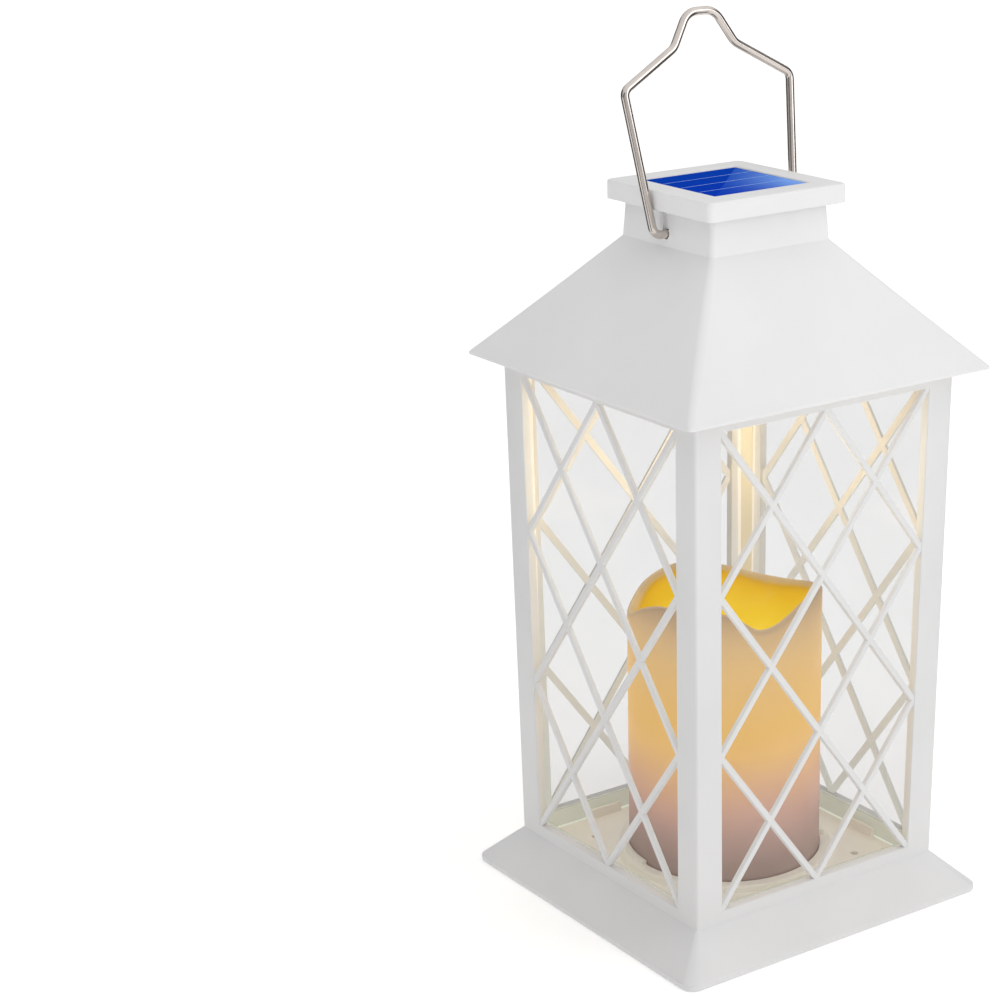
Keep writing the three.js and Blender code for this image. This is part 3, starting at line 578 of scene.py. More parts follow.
def cylinder(name, r, z0, z1, x=0.0, y=0.0, n=32, material=None, r2=None):
    r2 = r if r2 is None else r2
    rings = []
    for z, rr in ((z0, r), (z1, r2)):
        rings.append([(x + rr * math.cos(2 * math.pi * i / n), y + rr * math.sin(2 * math.pi * i / n), z) for i in range(n)])
    return loft(name, rings, material or WHITE)


def cylinder_x(name, r, x0, x1, y, z, n=32):
    rings = [[(x, y + r * math.cos(2 * math.pi * i / n), z + r * math.sin(2 * math.pi * i / n)) for i in range(n)] for x in (x0, x1)]
    return loft(name, rings, WHITE)


def block(name, x0, x1, y0, y1, z0, z1, material=None):
    rings = [[(x1, y1, z), (x0, y1, z), (x0, y0, z), (x1, y0, z)] for z in (z0, z1)]
    return loft(name, rings, material or WHITE)


def lathe(name, profile, material, n=64, angle=32.0):
    """Profile of (r, z) pairs about Z. It starts and ends on the axis, or it closes on itself (last pair not repeated)."""
    axis = abs(profile[0][0]) < 1e-9
    verts, faces = [], []
    if axis:
        body = profile[1:-1]
        for r, z in body:
            verts += [(r * math.cos(2 * math.pi * i / n), r * math.sin(2 * math.pi * i / n), z) for i in range(n)]
        for k in range(len(body) - 1):
            for i in range(n):
                j = (i + 1) % n
                faces.append((k * n + i, k * n + j, (k + 1) * n + j, (k + 1) * n + i))
        c0, c1 = len(verts), len(verts) + 1
        verts += [(0, 0, profile[0][1]), (0, 0, profile[-1][1])]
        e = (len(body) - 1) * n
        for i in range(n):
            j = (i + 1) % n
            faces.append((c0, j, i))
            faces.append((c1, e + i, e + j))
    else:
        for r, z in profile:
            verts += [(r * math.cos(2 * math.pi * i / n), r * math.sin(2 * math.pi * i / n), z) for i in range(n)]
        faces = ring_faces(len(profile), n, True)
    return new_mesh(name, verts, faces, material, angle=angle)


def sweep(name, points, r, material, sides=20, angle=60.0, ends=True):
    """Round wire along points, with parallel-carried rings."""
    pts = [Vector(p) for p in points]
    tang = []
    for i in range(len(pts)):
        a, b = pts[max(0, i - 1)], pts[min(len(pts) - 1, i + 1)]
        tang.append((b - a).normalized())
    up = Vector((0, 1, 0)) if abs(tang[0].y) < 0.9 else Vector((1, 0, 0))
    u = (up - tang[0] * up.dot(tang[0])).normalized()
    rings = []
    for i, p in enumerate(pts):
        if i:
            u = (u - tang[i] * u.dot(tang[i])).normalized()
        w = tang[i].cross(u)
        rings.append([tuple(p + u * (r * math.cos(2 * math.pi * k / sides)) + w * (r * math.sin(2 * math.pi * k / sides))) for k in range(sides)])
    return loft(name, rings, material, angle=angle)


def line_inside(o, reveals=False, sides=False):
    """Gives the faces that look at the lantern's own axis the painted glow of the inner light, and the cut edges of the
    windows a weaker painted glow.
    """
    me = o.data
    me.materials.append(INNER)
    if reveals or sides:
        me.materials.append(REVEAL)
    for p in me.polygons:
        c = p.center
        d = Vector((-c.x, 0, 0)) if abs(c.x) > abs(c.y) else Vector((0, -c.y, 0))
        facing = p.normal.dot(d.normalized())
        if facing > 0.8:
            p.material_index = 1
        elif sides and abs(facing) < 0.3:
            p.material_index = 2
        elif reveals and abs(facing) < 0.25 and abs(p.normal.z) < 0.5 and OPEN_Z0 - 0.1 < c.z / MM < OPEN_Z1 + 0.1 and min(abs(c.x), abs(c.y)) / MM < open_half(c.z / MM) + 0.1:
            p.material_index = 2


def hold(o, slot, body="lantern", *nodes):
    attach(o, body)
    if nodes:
        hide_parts(*nodes)
    return o


def keep(node, material, bevel_mm=0.0, segments=2, angle=35.0, shade_angle=30.0):
    """A CAD node whose shape is right: its own solid, welded and softened by modifiers, with a new finish."""
    o = NODES[node]
    o.data.materials.clear()
    o.data.materials.append(material)
    w = o.modifiers.new("weld", "WELD")
    w.merge_threshold = 0.000004
    if bevel_mm:
        bevel(o, bevel_mm, segments, angle)
    return o


# ------------------------------------------------------------------ base skirt
def make_skirt():
    rows = [
        (BASE_HALF - 0.5, 0, 5.0), (BASE_HALF, 0.5, 5.5), (BASE_HALF, 2.3, 5.5), (70.8, 3.0, 5.1),
        (57.62, 15.5, 1.3), (54.2, 15.5, 1.2), (54.2, 10.2, 1.2), (55.9, 10.2, 1.4), (55.9, 13.5, 1.4), (68.4, 2.2, 3.6), (68.8, 0, 3.8),
    ]
    prof = round_profile(rows, [0.3, 0.4, 0.5, 1.2, 0.0, 0.3, 0.2, 0.2, 0.6, 0.6, 0.3], 4)
    o = loft("skirt_moulding", [square(h, r, z, 10) for h, z, r in prof], WHITE, loop=True, angle=28.0)
    # the skirt's inner wall under the panes takes the painted glow of the inner light
    o.data.materials.append(INNER)
    for p in o.data.polygons:
        c = p.center
        if 10.3 < c.z / MM < 15.4 and max(abs(c.x), abs(c.y)) / MM < 54.6 and abs(p.normal.z) < 0.5:
            p.material_index = 1
    hold(o, "body_plastic", "lantern", "base_skirt")


make_skirt()


# ------------------------------------------------------------------ posts and rails, one open frame with four windows
def make_frame():
    """Square tube that leans out a little, with a window through each side. Rows of rings at the heights of the window edges."""
    zs = [FRAME_Z0, OPEN_Z0, OPEN_Z1, FRAME_TOP]
    bm = bmesh.new()
    outer, inner = {}, {}
    # plan positions across one face: corner, window edge, window edge, corner
    for k in range(4):
        c, s = round(math.cos(k * math.pi / 2)), round(math.sin(k * math.pi / 2))
        for zi, z in enumerate(zs):
            w, o = face_half(z), open_half(z)
            t = w - WALL
            for xi, x in enumerate((-w, -o, o, w)):
                if xi == 3:
                    continue
                outer[(k, xi, zi)] = bm.verts.new(((x * c + w * s) * MM, (x * s - w * c) * MM, z * MM))
            for xi, x in enumerate((-t, -o, o, t)):
                if xi == 3:
                    continue
                inner[(k, xi, zi)] = bm.verts.new(((x * c + t * s) * MM, (x * s - t * c) * MM, z * MM))
    for k in range(4):
        for xi in (0, 1, 2):
            outer.setdefault((k, 3, 0), None)
    for k in range(4):
        for zi in range(4):
            outer[(k, 3, zi)] = outer[((k + 1) % 4, 0, zi)]
            inner[(k, 3, zi)] = inner[((k + 1) % 4, 0, zi)]
    for k in range(4):
        for zi in range(3):
            for xi in range(3):
                if zi == 1 and xi == 1:
                    continue
                a = [(k, xi, zi), (k, xi + 1, zi), (k, xi + 1, zi + 1), (k, xi, zi + 1)]
                bm.faces.new([outer[q] for q in a])
                bm.faces.new([inner[q] for q in reversed(a)])
        # window reveals
        loop = [(k, 1, 1), (k, 2, 1), (k, 2, 2), (k, 1, 2)]
        for i in range(4):
            p, q = loop[i], loop[(i + 1) % 4]
            bm.faces.new([outer[q], outer[p], inner[p], inner[q]])
        # top and bottom
        for xi in range(3):
            bm.faces.new([outer[(k, xi, 3)], outer[(k, xi + 1, 3)], inner[(k, xi + 1, 3)], inner[(k, xi, 3)]])
            bm.faces.new([outer[(k, xi + 1, 0)], outer[(k, xi, 0)], inner[(k, xi, 0)], inner[(k, xi + 1, 0)]])
    bmesh.ops.recalc_face_normals(bm, faces=bm.faces)
    if bm.calc_volume(signed=True) < 0:
        bmesh.ops.reverse_faces(bm, faces=bm.faces)
    # corner radius on the four outer uprights, then a small radius round the outer rim of every window
    bm.edges.ensure_lookup_table()
    corner = []
    for e in bm.edges:
        a, b = e.verts
        d = (a.co - b.co).normalized()
        if abs(d.z) > 0.9 and all(abs(abs(v.co.x) - abs(v.co.y)) < 1e-6 and abs(v.co.x) > (face_half(v.co.z / MM) - 0.5) * MM for v in (a, b)):
            corner.append(e)
    bmesh.ops.bevel(bm, geom=corner, offset=1.1 * MM, segments=6, profile=0.5, affect="EDGES", clamp_overlap=True)
    edges = []
    for e in bm.edges:
        a, b = e.verts
        za, zb = a.co.z / MM, b.co.z / MM
        if min(za, zb) < OPEN_Z0 - 0.01 or max(za, zb) > OPEN_Z1 + 0.01 or len(e.link_faces) != 2:
            continue
        if e.calc_face_angle(0) < math.radians(60):
            continue
        m = (a.co + b.co) / 2
        far = max(abs(m.x), abs(m.y)) / MM
        near = min(abs(m.x), abs(m.y)) / MM
        zm = m.z / MM
        if near <= open_half(zm) + 0.05 and far > face_half(zm) - 0.6:   # outer rim of a window
            edges.append(e)
    bmesh.ops.bevel(bm, geom=edges, offset=0.45 * MM, segments=3, profile=0.5, affect="EDGES", clamp_overlap=True)
    me = bpy.data.meshes.new("window_frame")
    bm.to_mesh(me)
    bm.free()
    o = bpy.data.objects.new("window_frame", me)
    bpy.context.scene.collection.objects.link(o)
    me.materials.append(WHITE)
    shade(o, 30)
    # faces looking inwards take the painted glow of the inner light, the window reveals a weaker painted glow
    line_inside(o, True)
    hold(o, "body_plastic", "lantern", "post_rear_right", "post_rear_left", "post_front_left", "post_front_right")


make_frame()


# ------------------------------------------------------------------ lattice bars
def make_lattice():
    def px(s, t):
        return Vector((s * lerp(OPEN_HALF_Z0, OPEN_HALF_Z1, t), t * RUN))
    lines = []
    for m in (1, -1):
        lines += [(px(-m, 1), px(m, 1 / 3)), (px(-m, 2 / 3), px(m, 0)), (px(-m, 1 / 3), px(0, 0)), (px(0, 1), px(m, 2 / 3))]
    f, b = BAR_FRONT / 2, BAR_BACK / 2
    # drafted section with rounded front corners: (across, inwards)
    section = [(-b, BAR_INNER), (-f - 0.13, BAR_SET + 0.55), (-f + 0.0, BAR_SET + 0.26), (-f + 0.16, BAR_SET + 0.07), (-f + 0.42, BAR_SET),
               (f - 0.42, BAR_SET), (f - 0.16, BAR_SET + 0.07), (f - 0.0, BAR_SET + 0.26), (f + 0.13, BAR_SET + 0.55), (b, BAR_INNER)]
    master = None
    for i, (a, c) in enumerate(lines):
        d = (c - a).normalized()
        nx, nz = -d.y, d.x
        rings = []
        for p in (a - d * 7, c + d * 7):
            rings.append([(p.x + nx * s, y, p.y + nz * s) for s, y in section])
        o = loft(f"bar_{i}", rings, WHITE)
        if master is None:
            master = o
        else:
            boolean(master, o, "UNION")
    # trimmed just inside the frame's own material
    zb, zt = -1.6, RUN + 1.6
    xb, xt = px(1, zb / RUN).x + 1.2, px(1, zt / RUN).x + 1.2
    outline = [(-xb, zb), (xb, zb), (xt, zt), (-xt, zt)]
    trim = loft("trim", [[(x, y, z) for x, z in outline] for y in (-1.0, WALL + 1.0)], WHITE)
    boolean(master, trim, "INTERSECT")
    fix_normals(master)
    shade(master, 24)
    master.data.materials.clear()
    master.data.materials.append(WHITE)
    for k, side in enumerate(("front", "right", "rear", "left")):
        me = master.data.copy()
        o = bpy.data.objects.new(f"lattice_{side}", me)
        bpy.context.scene.collection.objects.link(o)
        m = Matrix.Rotation(k * math.pi / 2, 4, "Z") @ Matrix.Translation((0, -FACE_HALF_Z0 * MM, OPEN_Z0 * MM)) @ Matrix.Rotation(LEAN, 4, "X")
        me.transform(m)
        shade(o, 24)
        # bars' inner faces take the painted glow of the inner light; on the right and rear screens their side walls get
        # a weaker painted glow as well
        line_inside(o, sides=side in ("right", "rear"))
        hold(o, "body_plastic", "lantern", f"lattice_screen_{side}")
    bpy.data.objects.remove(master, do_unlink=True)


make_lattice()


# ------------------------------------------------------------------ window panes
for side in ("front", "right", "rear", "left"):
    keep(f"window_pane_{side}", CLEAR)


# ------------------------------------------------------------------ roof
def make_roof():
    slope = (NECK_Z0 - EAVE_Z - EAVE_LIP) / (EAVE_HALF - NECK_HALF_Z0)
    t = SHELL * math.hypot(1, slope)
    in_eave = EAVE_HALF - t / slope
    rows = [
        (EAVE_HALF, EAVE_Z, 2.2), (EAVE_HALF, EAVE_Z + EAVE_LIP, 2.2),
        (NECK_HALF_Z0, NECK_Z0, 2.2), (NECK_HALF_Z1, NECK_Z1, 2.2),
        (NECK_HALF_Z1 - SHELL, NECK_Z1, 1.2), (NECK_HALF_Z0 - SHELL, NECK_Z0 - 1.1, 1.2),
        (in_eave, EAVE_Z + EAVE_LIP, 1.4), (in_eave, EAVE_Z, 1.4),
    ]
    prof = round_profile(rows, [0.2, 0.35, 1.0, 0.2, 0.2, 0.8, 0.3, 0.2], 5)
    # the hip softens between eave and neck
    out = []
    for h, z, r in prof:
        out.append((h, z, r))
    final = []
    for i, row in enumerate(out):
        final.append(row)
        nxt = out[(i + 1) % len(out)]
        if row[0] > 60 and nxt[0] < 40 and nxt[1] > 240 and row[1] < 220:      # outer slope
            for k in range(1, 6):
                s = k / 6
                final.append((lerp(row[0], nxt[0], s), lerp(row[1], nxt[1], s), 2.2 + 1.0 * math.sin(math.pi * s)))
    o = loft("roof_moulding", [square(h, r, z, 12) for h, z, r in final], ROOF, loop=True, angle=26.0)
    boolean(o, cylinder_x("bore", WIRE / 2 + 0.32, -32, 32, 0, PIVOT_Z), "DIFFERENCE")
    # shallow assembly groove above each bail hole
    for s in (-1, 1):
        g = block("groove", s * 27.1 - 0.40, s * 27.1 + 0.40, -1.75, 1.75, PIVOT_Z, NECK_Z1 - 1.0)
        for v in g.data.vertices:
            z = v.co.z / MM
            v.co.x -= s * (NECK_HALF_Z0 - NECK_HALF_Z1) * (z - PIVOT_Z) / (NECK_Z1 - NECK_Z0) * MM
        bevel(g, 0.38, 3)
        apply_modifiers(g)
        boolean(o, g, "DIFFERENCE")
    for sx in (-1, 1):
        for sy in (-1, 1):
            top = EAVE_Z + EAVE_LIP + (EAVE_HALF - 54.2) * slope - 1.0
            boolean(o, cylinder("boss", 3.4, EAVE_Z, top, sx * 50, sy * 50, 28), "UNION")
            boolean(o, cylinder("hole", 1.15, EAVE_Z - 1, EAVE_Z + 11, sx * 50, sy * 50, 20), "DIFFERENCE")
    # stiffening ribs under the slopes, kept clear of the lead
    fix_normals(o)
    o.data.materials.clear()
    o.data.materials.append(ROOF)
    shade(o, 26)
    hold(o, "roof_plastic", "lantern", "roof_shell")


make_roof()


# ------------------------------------------------------------------ cap and panel
def make_cap():
    rows = [
        (CAP_HALF, CAP_Z0, 2.6), (CAP_HALF, CAP_Z1, 2.6), (PANEL_HALF + 0.35, CAP_Z1, 0.6), (PANEL_HALF + 0.05, 279.1, 0.45), (PANEL_HALF + 0.05, 276.2, 0.4), (8, 276.2, 1),
        (8, 274.9, 1), (28.9, 274.9, 1.6), (28.9, CAP_Z0, 1.6),
    ]
    prof = round_profile(rows, [0.3, 1.0, 0.12, 0, 0, 0, 0, 0.3, 0.25], 6)
    o = loft("cap_moulding", [square(h, max(r, 0.2), z, 10) for h, z, r in prof], ROOF, loop=True, angle=28.0)
    hold(o, "roof_plastic", "lantern", "solar_cap")
    # the panel: dark backing, four cell strips under resin, three light ribbons between them
    p = loft("panel_backing", [square(PANEL_HALF, 0.4, 276.5, 4), square(PANEL_HALF, 0.4, 278.9, 4)], PANEL_EDGE)
    bevel(p, 0.12, 2)
    hold(p, "solar_cells", "lantern", "solar_panel")
    lo, hi = -PANEL_HALF + 0.55, PANEL_HALF - 0.45
    gap = 0.30
    step = (hi - lo) / 4
    for i in range(4):
        y0, y1 = lo + i * step + (gap / 2 if i else 0), lo + (i + 1) * step - (gap / 2 if i < 3 else 0)
        c = loft(f"cell_strip_{i + 1}", [[(x, y, z) for x, y in ((hi, y1), (lo + 0.1, y1), (lo + 0.1, y0), (hi, y0))] for z in (278.8, 279.16)], CELLS)
        bevel(c, 0.05, 1)
        hold(c, "solar_cells")
        if i < 3:
            yc = lo + (i + 1) * step
            rb = loft(f"cell_ribbon_{i + 1}", [[(x, y, z) for x, y in ((hi - 0.5, yc + 0.13), (lo + 0.8, yc + 0.13), (lo + 0.8, yc - 0.13), (hi - 0.5, yc - 0.13))] for z in (278.8, 279.18)], RIBBON)
            bevel(rb, 0.04, 1)
            hold(rb, "solar_cells")


make_cap()


# ------------------------------------------------------------------ bail
def make_bail():
    corners = [(23.0, 0, 0), (32.7, 0, 3.6), (38.25, 52.3, 3.6), (14.0, 65.6, 6.4), (6.2, 78.06, 7.4)]
    full = corners + [(-x, s, r) for x, s, r in reversed(corners)]

    def at(x, s):
        return Vector((x, s * math.sin(BAIL_LEAN), PIVOT_Z + s * math.cos(BAIL_LEAN)))
    pts = [at(full[0][0], full[0][1])]
    for i in range(1, len(full) - 1):
        p, c, n = (at(full[j][0], full[j][1]) for j in (i - 1, i, i + 1))
        d0, d1 = (p - c).normalized(), (n - c).normalized()
        ang = d0.angle(d1)
        t = min(full[i][2] / math.tan(ang / 2), 0.49 * min((p - c).length, (n - c).length))
        r = t * math.tan(ang / 2)
        # a true arc between the two tangent points
        bis = (d0 + d1).normalized()
        centre = c + bis * (r / math.sin(ang / 2))
        a, b = c + d0 * t, c + d1 * t
        va, vb = a - centre, b - centre
        sweep_angle = va.angle(vb)
        axis = va.cross(vb).normalized()
        for k in range(11):
            pts.append(centre + Matrix.Rotation(sweep_angle * k / 10, 3, axis) @ va)
    pts.append(at(full[-1][0], full[-1][1]))
    # longer straights get a few rings of their own
    dense = [pts[0]]
    for a, b in zip(pts, pts[1:]):
        k = max(1, int((b - a).length / 4))
        for j in range(1, k + 1):
            dense.append(a.lerp(b, j / k))
    r = WIRE / 2
    o = sweep("bail_wire", [tuple(p) for p in dense], r - 0.01, NICKEL_WIRE, 24)
    # sheared ends with a small chamfer
    bevel(o, 0.25, 2, 60)
    hold(o, "bail_wire", "bail", "handle_bail")


make_bail()


# ------------------------------------------------------------------ floor tray
def make_tray():
    o = loft("tray_moulding", [square(h, r, z, 6) for h, z, r in ((TRAY_HALF, TRAY_Z0, 2), (TRAY_HALF, TRAY_Z1 - 0.3, 2), (TRAY_HALF - 0.3, TRAY_Z1, 1.7))], CREAM)
    boolean(o, cylinder("core", 35.6, 5, 20, 0, 0, 96), "DIFFERENCE")
    collar = lathe("collar", [(COLLAR_IN, 11.0), (COLLAR_OUT + 0.5, 11.0), (COLLAR_OUT + 0.35, 12.9), (COLLAR_OUT + 0.02, 14.4), (COLLAR_OUT - 0.5, COLLAR_Z), (COLLAR_IN + 0.3, COLLAR_Z), (COLLAR_IN, 14.7)], CREAM, 96)
    boolean(o, collar, "UNION")
    for a0 in (150, -30):
        n = 14
        inner = [((COLLAR_IN + 0.02) * math.cos(math.radians(a0 + 30 * i / n)), (COLLAR_IN + 0.02) * math.sin(math.radians(a0 + 30 * i / n))) for i in range(n + 1)]
        outer = [((COLLAR_IN + 2.2) * math.cos(math.radians(a0 + 30 * i / n)), (COLLAR_IN + 2.2) * math.sin(math.radians(a0 + 30 * i / n))) for i in range(n + 1)]
        ring = outer + inner[::-1]
        seg = loft("segment", [[(x, y, z) for x, y in ring] for z in (13.6, 16.8)], CREAM)
        bevel(seg, 0.3, 2)
        apply_modifiers(seg)
        boolean(o, seg, "UNION")
    for k in range(4):
        for c in (-22, 22):
            b = block("clip", c - 8.5, c + 8.5, 51.1, 52.5, 12.0, 16.5)
            bevel(b, 0.35, 2)
            apply_modifiers(b)
            b.data.transform(Matrix.Rotation(k * math.pi / 2, 4, "Z"))
            boolean(o, b, "UNION")
    for sx in (-1, 1):
        for sy in (-1, 1):
            boolean(o, cylinder("boss", 3.6, 5.3, 11.0, sx * 45, sy * 45, 24), "UNION")
            boolean(o, cylinder("bore", 1.2, 5.0, 11.5, sx * 45, sy * 45, 20), "DIFFERENCE")
            boolean(o, cylinder("drain", 1.6, 9, 13.5, sx * 36.5, sy * 37, 24), "DIFFERENCE")
    boolean(o, cylinder("lead_hole", 2.2, 9, 13.5, 50, 50, 24), "DIFFERENCE")
    fix_normals(o)
    o.data.materials.clear()
    o.data.materials.append(CREAM)
    shade(o, 28)
    hold(o, "tray_plastic", "lantern", "floor_tray")


make_tray()


# ------------------------------------------------------------------ candle
RIM = [(-158, 124.0), (-141, 123.9), (-131, 124.0), (-122, 122.6), (-115, 119.6), (-108, 117.0), (-98, 117.6), (-88, 120.4), (-75, 123.8), (-58, 125.4), (-40, 123.2),
       (-14, 119.0), (11, 115.8), (33, 115.8), (53, 118.4), (66, 119.6), (84, 120.8), (108, 118.0), (128, 113.6), (146, 112.6), (160, 115.4), (176, 120.6), (190, 123.6), (202, 124.0)]


def rim_at(deg):
    """Cubic curve through the rim heights, kept between its two neighbours' heights."""
    while deg < -158:
        deg += 360
    while deg >= 202:
        deg -= 360
    for i in range(len(RIM) - 1):
        (d0, z0), (d1, z1) = RIM[i], RIM[i + 1]
        if d0 <= deg <= d1:
            t = (deg - d0) / (d1 - d0)
            zp = RIM[i - 1] if i else (RIM[-2][0] - 360, RIM[-2][1])
            zn = RIM[i + 2] if i + 2 < len(RIM) else (RIM[1][0] + 360, RIM[1][1])
            m0 = (z1 - zp[1]) / (d1 - zp[0]) * (d1 - d0)
            m1 = (zn[1] - z0) / (zn[0] - d0) * (d1 - d0)
            h = (2 * t ** 3 - 3 * t ** 2 + 1) * z0 + (t ** 3 - 2 * t ** 2 + t) * m0 + (-2 * t ** 3 + 3 * t ** 2) * z1 + (t ** 3 - t ** 2) * m1
            return h
    return 120.0


def make_candle():
    n = 160
    R, r = CANDLE_R, CANDLE_R - CANDLE_WALL

    def ring(rf, zf):
        out = []
        for i in range(n):
            deg = 360 * i / n
            a = math.radians(deg)
            rr = rf(deg)
            out.append((rr * math.cos(a), rr * math.sin(a), zf(deg)))
        return out

    def wob(deg, k=1.0):
        a = math.radians(deg)
        return k * (0.45 * math.sin(3 * a + 0.7) + 0.3 * math.sin(5 * a + 2.1) + 0.2 * math.sin(8 * a + 4.0))
    rings = [ring(lambda d: r, lambda d: CANDLE_Z0), ring(lambda d: R - 0.5, lambda d: CANDLE_Z0), ring(lambda d: R, lambda d: CANDLE_Z0 + 0.5)]
    for s in (0.03, 0.12, 0.25, 0.4, 0.55, 0.7, 0.82, 0.9, 0.95):
        rings.append(ring(lambda d: R, lambda d, s=s: lerp(CANDLE_Z0, rim_at(d) - 1.7, s)))
    rings.append(ring(lambda d: R, lambda d: rim_at(d) - 1.7))
    for a, dr in ((20, 0), (42, 0), (64, 0), (86, 0)):
        rings.append(ring(lambda d, a=a: R - 1.25 * (1 - math.cos(math.radians(a))), lambda d, a=a: rim_at(d) - 1.7 + 1.45 * math.sin(math.radians(a))))
    # inner side of the lip, then down into the melted hollow
    path = [(R - 1.7, 0.985, -0.35), (R - 2.2, 0.955, -0.35), (R - 2.9, 0.88, -0.3), (R - 4.2, 0.72, 0), (R - 6.5, 0.50, 0), (R - 9.0, 0.31, 0), (26, 0.20, 0), (23, 0.11, 0), (19, 0.045, 0), (14, 0.01, 0), (9, 0.0, -0.2), (5, 0.0, -0.45), (2.2, 0.0, -0.7)]
    for rad, f, dz in path:
        k = min(1.0, max(0.0, (R - 2.5 - rad) / 6.0)) * (1.0 if rad > 12 else 0.5)
        rings.append(ring(lambda d, rad=rad: rad, lambda d, f=f, dz=dz, k=k: lerp(DIP_Z, rim_at(d), f) + dz + wob(d, 0.9 * k)))
    pts = [p for q in rings for p in q]
    faces = []

    def strip(a, b):
        for i in range(n):
            j = (i + 1) % n
            faces.append((a * n + i, a * n + j, b * n + j, b * n + i))
    for k in range(len(rings) - 1):
        strip(k, k + 1)
    last = len(rings) - 1
    inner = [ring(lambda d: 3, lambda d: DIP_Z - 3.4), ring(lambda d: 15, lambda d: DIP_Z - 3.0),
             ring(lambda d: 27, lambda d: lerp(DIP_Z, rim_at(d), 0.22) - 3.6), ring(lambda d: r, lambda d: lerp(DIP_Z, rim_at(d), 0.4) - 3.6)]
    base = len(rings)
    for q in inner:
        pts += q
    c1 = len(pts)
    pts.append((0, 0, DIP_Z - 0.8))
    c2 = len(pts)
    pts.append((0, 0, DIP_Z - 3.4))
    for i in range(n):
        j = (i + 1) % n
        faces.append((last * n + i, last * n + j, c1))
        faces.append((c2, base * n + j, base * n + i))
    for k in range(base, base + 3):
        strip(k, k + 1)
    strip(base + 3, 0)
    o = new_mesh("candle_wax", pts, faces, WAX, angle=70)
    depth = o.data.attributes.new("below_rim", "FLOAT", "POINT")
    for v, d in zip(o.data.vertices, depth.data):
        x, y, z = v.co / MM
        d.value = rim_at(math.degrees(math.atan2(y, x))) - z
    hold(o, "candle_wax", "lantern", "candle_shell")


make_candle()


# ------------------------------------------------------------------ light inside the candle
def make_led():
    o = lathe("led_lens", [(0, 82.5), (2.9, 82.5), (2.9, 83.5), (2.5, 83.6), (2.5, 88.4), (2.4, 89.2), (2.1, 90.1), (1.5, 90.8), (0.8, 91.1), (0, 91.2)], LENS, 40, 50)
    hold(o, "led_lens", "lantern", "candle_led")
    b = lathe("led_disc", [(0, 80.8), (9.3, 80.8), (9.5, 81.0), (9.5, 82.0), (9.3, 82.2), (0, 82.2)], BOARD, 64)
    hold(b, "circuit_board", "lantern", "led_board")
    s = lathe("led_pillar", [(0, 22.2), (8.7, 22.2), (9, 22.5), (9, 23.7), (8.6, 24.1), (5.2, 24.9), (4.2, 26.0), (3.9, 34), (3.4, 74), (3.7, 76.6), (5.6, 78.6), (6.5, 79.2), (6.5, 80.3), (6.3, 80.5), (0, 80.5)], CREAM, 48)
    hold(s, "tray_plastic", "lantern", "led_stand")


make_led()


# ------------------------------------------------------------------ screws
def cross_screw(name, x, y, z, head_r, head_h, shank_r, shank_l, node, body="lantern"):
    """Pan-head screw, head down: domed head, cross recess, threaded shank with a point."""
    prof = [(0, -head_h), (head_r * 0.45, -head_h * 0.985), (head_r * 0.72, -head_h * 0.88), (head_r * 0.9, -head_h * 0.66), (head_r * 0.985, -head_h * 0.38), (head_r, -head_h * 0.12), (head_r * 0.98, 0.0), (shank_r * 0.86, 0.0)]
    turns = int((shank_l - 1.8) / 0.55)
    for i in range(turns):
        z0 = 0.35 + i * 0.55
        prof += [(shank_r * 0.78, z0), (shank_r * 0.98, z0 + 0.2), (shank_r * 0.98, z0 + 0.26), (shank_r * 0.78, z0 + 0.46)]
    prof += [(shank_r * 0.78, shank_l - 1.2), (0, shank_l)]
    o = lathe(name, prof, PLATED, 28, 40)
    w, l, d = 0.36, head_r * 0.62, head_h * 0.55
    for a, b in ((l, w), (w, l)):
        cut = loft("cross", [[(p * k, q * k, zz) for p, q in ((a, b), (-a, b), (-a, -b), (a, -b))] for zz, k in ((-head_h - 0.6, 1.0), (-head_h + d, 0.7))], PLATED)
        boolean(o, cut, "DIFFERENCE")
    o.data.transform(Matrix.Translation((x * MM, y * MM, z * MM)))
    fix_normals(o)
    o.data.materials.clear()
    o.data.materials.append(PLATED)
    shade(o, 40)
    hold(o, "plated_steel", body, node)


for tag, sx, sy in (("rear_right", 1, 1), ("rear_left", -1, 1), ("front_left", -1, -1), ("front_right", 1, -1)):
    cross_screw(f"roof_fastener_{tag}", sx * 50, sy * 50, 209.1, 2.9, 1.8, 0.95, 10, f"roof_screw_{tag}")
    cross_screw(f"cover_fastener_{tag}", sx * 45, sy * 45, 3.75, 2.8, 1.5, 1.0, 7, f"cover_screw_{tag}")
cross_screw("door_fastener", 32.9, 0, 3.35, 2.2, 1.3, 0.8, 5.2, "battery_door_screw", "door")

# ------------------------------------------------------------------ the rest keeps its CAD solid, welded and softened
keep("top_flange", WHITE, 0.2)
keep("bottom_cover", WHITE, 0.22, 2)
keep("battery_door", WHITE, 0.18, 2)
keep("lead_duct_cover", DUCT, 0.12, 2)
keep("battery_cell", WRAP, 0.12, 2, 50)
keep("battery_contact_plate", PLATED_GOLD, 0.1, 2)
keep("battery_spring", PLATED)
keep("switch_housing", BLACK, 0.18, 2)
keep("switch_slider", BLACK, 0.15, 2)
keep("control_board", BOARD, 0.1, 2)
keep("solar_lead", RED)
keep("led_lead", RED)

